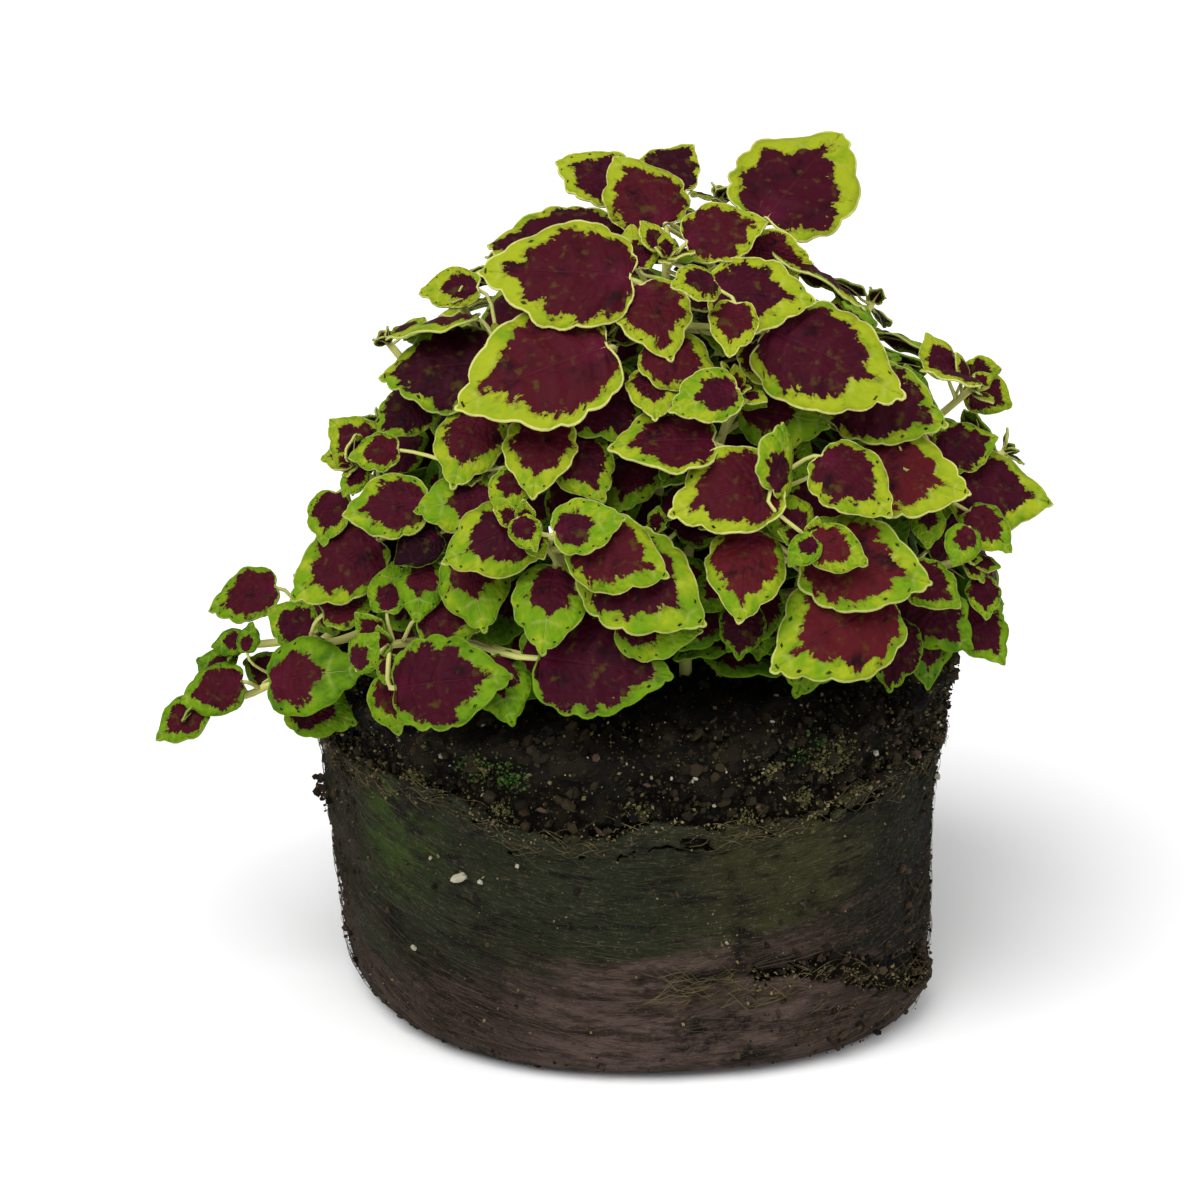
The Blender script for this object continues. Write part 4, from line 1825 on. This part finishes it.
@dataclass
class PottingMix:
    """The crumbly soil: its surface, its crumbs, perlite, bark and moss."""

    ball: RootBall
    steps: int = 300

    def surface(self) -> bpy.types.Object:
        """The soil's whole surface, lumpy where it shows."""
        ball = self.ball
        inset = ball.mat + ball.gap
        profile = ball.base_profile(inset, 4, 4)
        profile += [(ball.wall_radius(h * MM) - inset, h * MM) for h in np.linspace(12, 52, 14)]
        profile += [(ball.wall_radius(h * MM) - inset, h * MM) for h in np.linspace(53, 66, 12)]
        profile += [(ball.wall_radius(h * MM) - (0.6 + 1.7 * (77 - h) / 11) * MM, h * MM)
                    for h in np.linspace(66.8, 77, 14)]
        profile += [(radius * MM, ball.soil_height(radius * MM)) for radius in np.linspace(73, 30, 40)]
        profile += [(radius * MM, ball.soil_height(radius * MM)) for radius in np.linspace(27, 0, 7)]
        mesh = spun(profile, self.steps)
        points = ball.lobed(points_of(mesh))
        normals = np.array([list(v.normal) for v in mesh.vertices])
        shows = np.clip((points[:, 2] - 8 * MM) / (6 * MM), 0, 1)
        lumps = roughness_of(points, (100, 100, 100), 3) * 1.7
        crumbs = np.abs(roughness_of(points + 3, (240, 240, 240), 3)) * 2.3 - 0.7
        inside = np.where(points[:, 2] < 58 * MM, 0.5, 1.0)
        put(mesh, points + normals * ((lumps + crumbs) * shows * inside * MM)[:, None])
        return joined("soil_surface", [mesh])

    def places(self, draw: np.random.Generator, count: int, top_share: float = 0.5) -> tuple[np.ndarray, np.ndarray]:
        """Random places on the soil that shows.

        Args:
            draw: The random draw.
            count: How many places.
            top_share: The share of them that lie on the top, the others being on the wall.

        Returns:
            The places, and the way out of the soil at each.
        """
        ball = self.ball
        turn = draw.uniform(-math.pi, math.pi, count)
        on_top = draw.random(count) < top_share
        share = np.where(draw.random(count) < 0.45, draw.uniform(0.86, 1.0, count), np.sqrt(draw.random(count)))
        radius = (ball.top_radius - 1.2 * MM) * share
        rise = ball.soil_height(radius) + draw.uniform(-0.5, 0.6, count) * MM
        top = ball.lobed(np.stack([radius * np.cos(turn), radius * np.sin(turn), rise], axis=-1))
        edge = ball.edge_height(turn)
        height = edge - 2 * MM + (80.5 * MM - edge) * draw.random(count)
        wall = ball.on_wall(turn, height, draw.uniform(-1.7, 0.1, count) * MM)
        flat = np.stack([np.cos(turn), np.sin(turn), np.full(count, 0.25)], axis=-1)
        up = np.tile([0.0, 0.0, 1.0], (count, 1))
        return np.where(on_top[:, None], top, wall), np.where(on_top[:, None], up, flat)

    def clumps(self, draw: np.random.Generator, middles: list[tuple[float, float, float, int]]) -> np.ndarray:
        """Places in clumps on the wall.

        Args:
            draw: The random draw.
            middles: For each clump the degrees round the ball, the height and the reach in
                millimetres, and how many places it has.

        Returns:
            The places.
        """
        rows = []
        for degrees, height, reach, count in middles:
            turn = math.radians(degrees) + draw.normal(0, reach / 72, count)
            rise = height * MM + draw.normal(0, 0.75 * reach * MM, count)
            rows.append(self.ball.on_wall(turn, rise, draw.uniform(-1.2, 1.0, count) * MM))
        return np.vstack(rows)

    def grains(self, name: str, finer: int, centres: np.ndarray, sizes: np.ndarray, rough: float,
               draw: np.random.Generator, flat: float = 1.0) -> bpy.types.Object:
        """Beads pressed out of shape, one at each place.

        Args:
            name: The piece's name.
            finer: How finely each bead is modelled.
            centres: Where each bead is.
            sizes: Each bead's radius.
            rough: How far their points are moved, as a share of the radius.
            draw: The random draw.
            flat: How thick the beads are, as a share of their width.

        Returns:
            The piece.
        """
        template = bead_template(finer)
        unit = points_of(template)
        count = len(centres)
        frames, _ = np.linalg.qr(draw.normal(size=(count, 3, 3)))
        shape = np.stack([np.ones(count), draw.uniform(0.55, 0.95, count),
                          draw.uniform(0.45, 0.85, count) * flat], axis=-1)
        bumps = 1 + rough * draw.normal(size=(count, len(unit), 1))
        local = unit[None] * shape[:, None, :] * bumps * sizes[:, None, None]
        points = centres[:, None, :] + np.einsum("nij,nkj->nki", frames, local)
        points[..., 2] = np.maximum(points[..., 2], 0)
        mesh = copies(template, count)
        put(mesh, points.reshape(-1, 3))
        tones = np.repeat(draw.random((count, 4)), len(unit), axis=0)
        paint(mesh, "tone", tones)
        obj = joined(name, [mesh])
        obj.data.shade_flat()
        return obj


@dataclass
class Roots:
    """The felt of roots and its loose fibres.

    Args:
        ball: The root ball's sizes.
        steps: How many steps the felt has round the ball.
        rows: How many rows its wall has.
        thickness: The thickness of the felt.
    """

    ball: RootBall
    steps: int = 340
    rows: int = 62
    thickness: float = 1.5 * MM

    def felt(self) -> bpy.types.Object:
        """The felt: folded and streaked in relief, with a ragged upper edge, a torn slit and a
        corner missing from its foot."""
        ball = self.ball
        profile = ball.base_profile(0, 5, 8)
        profile += [(ball.wall_radius(h * MM), h * MM) for h in np.linspace(10, 66, self.rows)]
        mesh = spun(profile, self.steps)
        points = points_of(mesh)
        turn = np.arctan2(points[:, 1], points[:, 0])
        on_side = points[:, 2] > ball.edge_radius
        ragged = roughness_of(points * [1, 1, 0], (200, 200, 1), 5) * 2.0 * MM
        top = ball.edge_height(turn) + ragged
        share = (points[:, 2] - ball.edge_radius) / (66 * MM - ball.edge_radius)
        height = np.where(on_side, ball.edge_radius + share * (top - ball.edge_radius), points[:, 2])
        radius = np.where(on_side, ball.wall_radius(height), np.hypot(points[:, 0], points[:, 1]))
        points = np.stack([radius * np.cos(turn), radius * np.sin(turn), height], axis=-1)
        points = ball.lobed(points)
        relief = self.relief(points, turn, height) + np.clip(share, 0, 1) ** 12 * 0.8 * MM
        out = np.stack([np.cos(turn), np.sin(turn), np.zeros(len(turn))], axis=-1)
        low = np.clip(height / ball.edge_radius, 0, 1)
        put(mesh, points + out * (relief * low)[:, None])
        self.tear(mesh)
        obj = joined("root_felt", [mesh])
        shell = obj.modifiers.new("thickness", "SOLIDIFY")
        shell.thickness = self.thickness
        shell.offset = -1
        return obj

    def relief(self, points: np.ndarray, turn: np.ndarray, height: np.ndarray) -> np.ndarray:
        """How far the felt stands out of its even form at these points.

        Args:
            points: The points, one row each.
            turn: Their turns round the ball.
            height: Their heights.

        Returns:
            One length for each point.
        """
        wrapped = points.copy()
        wrapped[:, 2] -= self.ball.drift(points[:, 0])
        folds = roughness_of(wrapped, (18, 18, 95), 3)
        streaks = roughness_of(wrapped, (70, 70, 480), 4)
        lumps = roughness_of(points, (48, 48, 70), 4)
        fuzz = roughness_of(points, (520, 520, 900), 3)
        relief = (0.8 * folds + 0.55 * streaks + 0.9 * lumps + 0.45 * fuzz) * MM
        middle, half = self.ball.slit_at(turn)
        below = (middle - half - height) / (6 * MM)
        open_share = np.clip(half / (2 * MM), 0, 1)
        relief += np.exp(-below ** 2) * (below > -0.5) * open_share * 2.4 * MM
        above = (height - middle - half) / (4 * MM)
        relief -= np.exp(-above ** 2) * (above > -0.5) * open_share * 0.8 * MM
        corner = np.exp(-((turn - math.radians(-47)) / 0.2) ** 2) * np.exp(-(height / (5 * MM)) ** 2)
        return relief - corner * 7 * MM

    def tear(self, mesh: bpy.types.Mesh) -> None:
        """Takes the slit's faces and some small holes out of the felt, with ragged borders."""
        work = bmesh.new()
        work.from_mesh(mesh)
        work.faces.ensure_lookup_table()
        centres = np.array([list(face.calc_center_median()) for face in work.faces])
        turn = np.arctan2(centres[:, 1], centres[:, 0])
        middle, half = self.ball.slit_at(turn)
        ragged = roughness_of(centres, (240, 240, 240), 3) * 1.6 * MM
        gone = (np.abs(centres[:, 2] - middle) < 1.5 * half + ragged) & (half > 0)
        holes = roughness_of(centres, (90, 90, 240), 3)
        near_top = self.ball.edge_height(turn) - centres[:, 2] < 6 * MM
        gone |= near_top & (holes > 0.36) & (centres[:, 2] > 40 * MM)
        bmesh.ops.delete(work, geom=[work.faces[i] for i in np.flatnonzero(gone)], context="FACES")
        loose = [vert for vert in work.verts if not vert.link_faces]
        bmesh.ops.delete(work, geom=loose, context="VERTS")
        work.to_mesh(mesh)
        work.free()

    def fibres(self, name: str, kind: "Fibres", draw: np.random.Generator) -> bpy.types.Object:
        """Fine roots lying on the felt.

        Args:
            name: The piece's name.
            kind: How many they are and how they lie.
            draw: The random draw.

        Returns:
            The piece.
        """
        ball = self.ball
        template = tube_template(3, kind.steps)
        unit = points_of(template)
        count = kind.count
        start = draw.uniform(math.radians(kind.turns[0]), math.radians(kind.turns[1]), count)
        sizes = draw.uniform(*kind.length, count)[:, None]
        t = np.linspace(0, 1, kind.steps + 1)[None]
        bends = sum(draw.normal(0, kind.curl / n, (count, 1)) * np.sin(2.2 * n * t + draw.uniform(0, 6.3, (count, 1)))
                    for n in (1, 2, 3))
        steep = draw.normal(0, kind.slope, (count, 1)) * t + bends
        turn = start[:, None] + sizes * t / ball.base_radius * np.sign(draw.random((count, 1)) - 0.5)
        across = ball.base_radius * np.cos(turn)
        low = draw.uniform(*kind.heights, count) * MM
        if kind.on_edge:
            low = low + ball.edge_height(start)
        if kind.on_slit:
            low = low + ball.slit_at(start)[0]
        height = low[:, None] + ball.drift(across) - ball.drift(across[:, :1]) + steep * sizes
        height = np.clip(height, 1.2 * MM, 84 * MM)
        bow = np.sin(math.pi * t * draw.uniform(0.4, 1.2, (count, 1))) * draw.uniform(0, kind.proud, (count, 1))
        lie = draw.uniform(0.1, 0.7, (count, 1)) * MM
        middle, half = ball.slit_at(turn)
        across_it = np.any(np.abs(height - middle) < half + 0.5 * MM, axis=1)
        clear = ~across_it | (draw.random(count) < (0.3 if kind.on_slit else 0.06))
        places = ball.on_wall(turn, height, lie + bow)[clear]
        thick = draw.uniform(*kind.radius, count)[clear]
        taper = 1 - 0.7 * t[0]
        aim = np.array([0.01, 0.02, 1.0])
        rows = [sweep(unit, path, aim, size * taper) for path, size in zip(places, thick)]
        mesh = copies(template, len(rows))
        put(mesh, np.vstack(rows))
        return joined(name, [mesh])


@dataclass(frozen=True)
class Fibres:
    """Fine roots that lie alike.

    Args:
        count: How many roots.
        steps: How many steps each has along it.
        heights: The lowest and highest place where one starts, in millimetres, from the base or,
            where on_edge or on_slit is true, from the felt's edge or its slit.
        length: The shortest and longest of them.
        radius: The thinnest and thickest of them.
        slope: How steeply they run up or down against the felt's own fibres.
        curl: How much they wander, as a share of their length.
        proud: How far out of the felt they may bow.
        turns: The stretch round the ball that they lie on, in degrees.
        on_edge: Whether they follow the felt's upper edge.
        on_slit: Whether they follow the slit.
    """

    count: int
    steps: int
    heights: tuple[float, float]
    length: tuple[float, float]
    radius: tuple[float, float]
    slope: float
    curl: float
    proud: float
    turns: tuple[float, float] = (-180, 180)
    on_edge: bool = False
    on_slit: bool = False


# The stage

@dataclass(frozen=True)
class Studio:
    """A plain pale floor, soft light and the picture's camera."""

    picture: Picture
    floor_size: float = 8.0

    def build(self) -> None:
        """Makes the floor, the lights and the camera."""
        work = bmesh.new()
        bmesh.ops.create_grid(work, x_segments=1, y_segments=1, size=self.floor_size / 2)
        mesh = bpy.data.meshes.new("floor")
        work.to_mesh(mesh)
        work.free()
        mesh.transform(Matrix.Translation((0, 1.0, -0.0004)))
        floor = bpy.data.objects.new("floor", mesh)
        bpy.context.scene.collection.objects.link(floor)
        pale = bpy.data.materials.new("floor")
        pale.use_nodes = True
        shader = pale.node_tree.nodes["Principled BSDF"]
        shader.inputs["Base Color"].default_value = (0.93, 0.93, 0.93, 1)
        shader.inputs["Roughness"].default_value = 0.9
        mesh.materials.append(pale)
        scene = bpy.context.scene
        scene.camera = self.picture.camera()
        scene.view_settings.view_transform = "Standard"
        world = bpy.data.worlds.new("studio")
        world.use_nodes = True
        background = world.node_tree.nodes["Background"]
        background.inputs["Color"].default_value = (1, 1, 1, 1)
        background.inputs["Strength"].default_value = 0.46
        scene.world = world
        self.light("key", (-0.45, -0.75, 1.2), 2.8, 45)
        self.light("fill", (0.9, -0.7, 0.9), 0.95, 70)

    def light(self, name: str, place: tuple[float, float, float], strength: float, spread: float) -> None:
        """A distant soft light.

        Args:
            name: The light's name.
            place: The way that it comes from.
            strength: Its strength.
            spread: How wide it is in the sky, in degrees.
        """
        data = bpy.data.lights.new(name, "SUN")
        data.angle = math.radians(spread)
        data.energy = strength
        lamp = bpy.data.objects.new(name, data)
        bpy.context.scene.collection.objects.link(lamp)
        lamp.location = place
        lamp.rotation_euler = (-Vector(place)).to_track_quat("-Z", "Y").to_euler()


# Putting it together

def finish_piece(piece: bpy.types.Object, slot: str, materials: list[bpy.types.Material], *nodes: str) -> None:
    """Dresses a piece, fixes it to the root ball's body and reports it.

    Args:
        piece: The piece.
        slot: The record's material slot that it takes its finish from.
        materials: Its materials.
        nodes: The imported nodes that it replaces.
    """
    piece.data.materials.clear()
    for material in materials:
        piece.data.materials.append(material)
    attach(piece, "root")
    if nodes:
        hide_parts(*nodes)
    triangles = sum(len(face.vertices) - 2 for face in piece.data.polygons)
    LOG.info("%s: %d triangles, stands for %s", piece.name, triangles, ", ".join(nodes) or "nothing")


def build_foliage(picture: Picture) -> None:
    """Builds and dresses every leafy stem."""
    canopy = Canopy(picture)
    ground = tree_of(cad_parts["potting_mix"].data)
    planting = Planting(canopy, BladeForm(), StemForm(), ground)
    planting.plant_stems()
    missed = planting.grow_leaves(random.Random(4))
    LOG.info("%d leaves as in the solids, %d without room", len(planting.leaves), missed)
    added = planting.fill_inside(random.Random(11))
    planting.tip_rosettes(random.Random(12))
    LOG.info("%d inner leaves, %d leaves in all", added, len(planting.leaves))
    pattern = BladePattern(planting.form).build()
    above = LeafFinish(
        "leaf_above", shaded=(0.045, 0.115, 0.003), open=(0.115, 0.22, 0.004), sunny=(0.27, 0.32, 0.011),
        heart=(0.034, 0.0012, 0.0072), heart_red=(0.07, 0.005, 0.008), heart_dark=(0.01, 0.0009, 0.0035),
        heart_foot=(0.1, 0.005, 0.028), fringe=(0.065, 0.05, 0.006), vein=(0.065, 0.01, 0.018),
        rim=(0.62, 0.6, 0.21), roughness=0.62).build(pattern)
    below = LeafFinish(
        "leaf_below", shaded=(0.1, 0.17, 0.03), open=(0.17, 0.26, 0.04), sunny=(0.25, 0.33, 0.06),
        heart=(0.075, 0.03, 0.045), heart_red=(0.09, 0.035, 0.04), heart_dark=(0.045, 0.018, 0.03),
        heart_foot=(0.12, 0.05, 0.06), fringe=(0.1, 0.1, 0.05), vein=(0.2, 0.24, 0.1),
        rim=(0.4, 0.45, 0.16), roughness=0.7).build(pattern)
    stalk = StalkFinish().build()
    stems = LeafyStems(planting, FineLeaves(planting.form))
    template = tube_template(stems.sides, stems.steps)
    draw = random.Random(7)
    for number in range(len(planting.stems)):
        node = f"leafy_stem_{number + 1:02d}"
        piece = stems.build(number, template, draw)
        finish_piece(piece, "leaf", [above, below, stalk], node)
        low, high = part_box(node)
        points = points_of(piece.data)
        LOG.info("  off its solid by %s mm", [round(float(v) / MM, 1) for v in
                                               (*(points.min(0) - np.array(low)), *(points.max(0) - np.array(high)))])


def build_root_ball() -> None:
    """Builds and dresses the soil, the felt and everything on them."""
    ball = RootBall()
    grain = grain_group()
    build_soil(ball, grain, np.random.default_rng(5))
    build_felt(ball, grain, np.random.default_rng(6))


def build_soil(ball: RootBall, grain: bpy.types.NodeTree, draw: np.random.Generator) -> None:
    """Builds and dresses the soil and what lies on it.

    Args:
        ball: The root ball's sizes.
        grain: The node group of earthy surfaces.
        draw: The random draw.
    """
    soil = PottingMix(ball)
    dark = EarthFinish(
        "soil", base=(0.004, 0.0035, 0.0025), blotch=(0.014, 0.0105, 0.006), fleck=(0.07, 0.058, 0.03),
        coarse=160, fine=1500, flecks=0.27, bump=0.9 * MM).build(grain)
    crumb = EarthFinish(
        "crumb", base=(0.003, 0.0026, 0.002), blotch=(0.03, 0.022, 0.011), fleck=(0.07, 0.055, 0.03),
        coarse=300, fine=2000, flecks=0.2, bump=0.3 * MM, toned=True).build(grain)
    olive = EarthFinish(
        "moss_grain", base=(0.03, 0.035, 0.01), blotch=(0.13, 0.11, 0.045), fleck=(0.25, 0.23, 0.11),
        coarse=400, fine=2500, flecks=0.12, bump=0.15 * MM, toned=True).build(grain)
    green = EarthFinish(
        "moss", base=(0.012, 0.04, 0.005), blotch=(0.05, 0.09, 0.015), fleck=(0.13, 0.17, 0.05),
        coarse=400, fine=2500, flecks=0.12, bump=0.15 * MM, toned=True).build(grain)
    white = EarthFinish(
        "perlite", base=(0.36, 0.34, 0.27), blotch=(0.17, 0.15, 0.1), fleck=(0.1, 0.085, 0.06),
        coarse=500, fine=3000, flecks=0.1, bump=0.2 * MM, toned=True).build(grain)
    bark = EarthFinish(
        "bark", base=(0.014, 0.009, 0.006), blotch=(0.085, 0.052, 0.034), fleck=(0.24, 0.17, 0.12),
        coarse=300, fine=1800, flecks=0.3, bump=0.3 * MM, toned=True).build(grain)
    finish_piece(soil.surface(), "potting_mix", [dark], "potting_mix")
    places, _ = soil.places(draw, 5600)
    sizes = draw.gamma(3, 0.16, len(places)).clip(0.2, 0.9) * MM
    finish_piece(soil.grains("soil_crumbs", 0, places, sizes, 0.15, draw), "potting_mix", [crumb])
    places, _ = soil.places(draw, 2000)
    sizes = draw.gamma(4, 0.27, len(places)).clip(0.6, 2.2) * MM
    finish_piece(soil.grains("soil_clods", 1, places, sizes, 0.14, draw), "potting_mix", [crumb])
    places, out = soil.places(draw, 2900, 0.45)
    spread = places + out * 0.7 * MM
    middles = [(-55, 73, 2.8, 420), (-60, 65, 1.4, 110), (-67, 73, 1.3, 90), (-90, 66, 1.5, 90),
               (-71, 63, 1.5, 100), (-113, 64, 1.3, 80), (-130, 67, 1.8, 110), (-117, 73, 2.2, 80),
               (30, 70, 4, 150), (95, 72, 4, 160), (160, 70, 4, 150)]
    places = np.vstack([spread, soil.clumps(draw, middles)])
    sizes = draw.gamma(3, 0.1, len(places)).clip(0.14, 0.7) * MM
    finish_piece(soil.grains("moss_grains", 0, places, sizes, 0.15, draw), "potting_mix", [olive])
    middles = [(-117, 74, 2.4, 190), (-111, 72, 2.0, 130), (-60, 76, 3, 80), (60, 74, 4, 160),
               (140, 75, 4, 160)]
    places = soil.clumps(draw, middles)
    sizes = draw.gamma(3, 0.1, len(places)).clip(0.14, 0.6) * MM
    finish_piece(soil.grains("moss_tufts", 0, places, sizes, 0.2, draw), "potting_mix", [green])
    places, out = soil.places(draw, 300, 0.45)
    sizes = draw.gamma(2.0, 0.18, len(places)).clip(0.16, 1.0) * MM
    finish_piece(soil.grains("perlite", 1, places + out * 0.8 * MM, sizes, 0.14, draw), "potting_mix", [white])
    places, out = soil.places(draw, 260, 0.45)
    sizes = draw.gamma(3.0, 0.26, len(places)).clip(0.4, 1.7) * MM
    finish_piece(soil.grains("bark_bits", 1, places + out * 0.6 * MM, sizes, 0.15, draw, 0.45), "potting_mix", [bark])


def build_felt(ball: RootBall, grain: bpy.types.NodeTree, draw: np.random.Generator) -> None:
    """Builds and dresses the felt, its loose roots and the crumbs that cling to it.

    Args:
        ball: The root ball's sizes.
        grain: The node group of earthy surfaces.
        draw: The random draw.
    """
    roots = Roots(ball)
    felt = FeltFinish(
        "felt", base=(0.088, 0.058, 0.049), blotch=(0.03, 0.0195, 0.0145), fleck=(0.14, 0.112, 0.075),
        coarse=300, fine=1600, bump=0.7 * MM, ball=ball).build(grain)
    brown = EarthFinish(
        "fine_root", base=(0.07, 0.05, 0.036), blotch=(0.03, 0.02, 0.014), fleck=(0.16, 0.12, 0.08),
        coarse=70, fine=900, flecks=0.2, bump=0.1 * MM).build(grain)
    olive = EarthFinish(
        "olive_root", base=(0.03, 0.034, 0.015), blotch=(0.012, 0.014, 0.008), fleck=(0.1, 0.1, 0.04),
        coarse=80, fine=900, flecks=0.2, bump=0.1 * MM).build(grain)
    tan = EarthFinish(
        "tan_root", base=(0.12, 0.096, 0.045), blotch=(0.04, 0.031, 0.015), fleck=(0.24, 0.2, 0.1),
        coarse=120, fine=900, flecks=0.2, bump=0.1 * MM).build(grain)
    crumb = EarthFinish(
        "felt_crumb", base=(0.005, 0.004, 0.003), blotch=(0.05, 0.034, 0.02), fleck=(0.13, 0.1, 0.05),
        coarse=300, fine=2200, flecks=0.15, bump=0.3 * MM, toned=True).build(grain)
    grit = EarthFinish(
        "felt_grit", base=(0.06, 0.05, 0.02), blotch=(0.2, 0.16, 0.075), fleck=(0.3, 0.27, 0.15),
        coarse=300, fine=2200, flecks=0.12, bump=0.15 * MM, toned=True).build(grain)
    white = EarthFinish(
        "felt_perlite", base=(0.4, 0.38, 0.3), blotch=(0.26, 0.24, 0.16), fleck=(0.16, 0.135, 0.09),
        coarse=500, fine=3000, flecks=0.08, bump=0.2 * MM, toned=True).build(grain)
    finish_piece(roots.felt(), "root_mat", [felt], "root_mat")
    lower = Fibres(680, 7, (3, 34), (8 * MM, 34 * MM), (0.05 * MM, 0.11 * MM), 0.1, 0.03, 0.5 * MM)
    finish_piece(roots.fibres("felt_roots_lower", lower, draw), "root_mat", [brown])
    upper = Fibres(680, 7, (26, 60), (7 * MM, 28 * MM), (0.05 * MM, 0.11 * MM), 0.16, 0.04, 0.6 * MM)
    finish_piece(roots.fibres("felt_roots_upper", upper, draw), "root_mat", [olive])
    edge = Fibres(560, 8, (-3.5, 1.2), (2 * MM, 9 * MM), (0.05 * MM, 0.13 * MM), 0.3, 0.2, 1.3 * MM,
                  on_edge=True)
    finish_piece(roots.fibres("edge_roots", edge, draw), "root_mat", [tan])
    lip = Fibres(300, 8, (-6, 1), (2 * MM, 10 * MM), (0.06 * MM, 0.14 * MM), 0.3, 0.2, 1.8 * MM, (-84, -22),
                 on_slit=True)
    finish_piece(roots.fibres("slit_roots", lip, draw), "root_mat", [tan])
    finish_piece(clinging_crumbs(ball, draw), "root_mat", [crumb])
    finish_piece(clinging_grit(ball, draw), "root_mat", [grit])
    soil = PottingMix(ball)
    spots = [(-121, 46.5, 1.9), (-133, 25.4, 0.9), (-117, 46.7, 0.7), (-127, 49.4, 0.5), (-110, 52, 0.6), (-74, 34, 0.5),
             (20, 40, 1.2), (75, 30, 1.5), (120, 48, 1.0), (165, 22, 1.3), (100, 15, 0.8), (-10, 50, 0.8)]
    turn, height, size = (np.array(values) for values in zip(*spots))
    places = ball.on_wall(np.radians(turn), height * MM, 0.9 * MM)
    finish_piece(soil.grains("felt_perlite_grains", 2, places, size * MM, 0.15, draw), "root_mat", [white])


def clinging_crumbs(ball: RootBall, draw: np.random.Generator) -> bpy.types.Object:
    """The dark crumbs that cling to the felt: thickest at its right edge, in the slit and round
    the missing corner, and in one clump that hangs out at the left.

    Args:
        ball: The root ball's sizes.
        draw: The random draw.

    Returns:
        The piece.
    """
    # For each stretch: degrees round the ball, heights and standing out in millimetres, how many
    stretches = [
        ((-34, 12), (18, 66), (-0.7, 0.7), 420), ((-72, -18), (6, 32), (-0.9, 1.2), 420),
        ((-64, -30), (0.6, 7), (-3.5, -0.5), 160), ((-180, 180), (2, 62), (-0.5, 0.5), 700),
        ((-171, -162), (45, 51), (-0.2, 3.2), 60), ((-179, -150), (2, 60), (-0.7, 0.6), 180),
        ((-180, 180), (0.6, 5), (-0.8, 0.8), 320),
    ]
    rows = []
    for turns, heights, outs, count in stretches:
        turn = np.radians(draw.uniform(*turns, count))
        rows.append(ball.on_wall(turn, draw.uniform(*heights, count) * MM, draw.uniform(*outs, count) * MM))
    places = np.vstack(rows)
    sizes = draw.gamma(3, 0.16, len(places)).clip(0.18, 1.3) * MM
    return PottingMix(ball).grains("felt_crumbs", 1, places, sizes, 0.16, draw)


def clinging_grit(ball: RootBall, draw: np.random.Generator) -> bpy.types.Object:
    """The tan grit along the felt's torn upper edge and round the slit.

    Args:
        ball: The root ball's sizes.
        draw: The random draw.

    Returns:
        The piece.
    """
    turn = draw.uniform(-math.pi, math.pi, 1500)
    edge = ball.on_wall(turn, ball.edge_height(turn) + draw.normal(-0.6, 1.5, 1500) * MM, draw.uniform(0, 1.1, 1500) * MM)
    turn = np.radians(draw.uniform(-76, -20, 620))
    middle, half = ball.slit_at(turn)
    height = middle - 0.8 * half + draw.normal(-1.0, 2.6, 620) * MM
    slit = ball.on_wall(turn, height, draw.uniform(-1.5, 1.8, 620) * MM)
    turn = draw.uniform(-math.pi, math.pi, 800)
    over = ball.on_wall(turn, draw.uniform(4, 60, 800) * MM, draw.uniform(0, 0.7, 800) * MM)
    places = np.vstack([edge, slit, over])
    sizes = draw.gamma(3, 0.085, len(places)).clip(0.12, 0.6) * MM
    return PottingMix(ball).grains("felt_grit", 0, places, sizes, 0.15, draw)


def main() -> None:
    """Builds the whole scene in order."""
    logging.basicConfig(level=logging.INFO, format="%(message)s")
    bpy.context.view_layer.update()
    picture = Picture()
    Studio(picture).build()
    build_root_ball()
    build_foliage(picture)


if __name__ == "__main__":
    main()
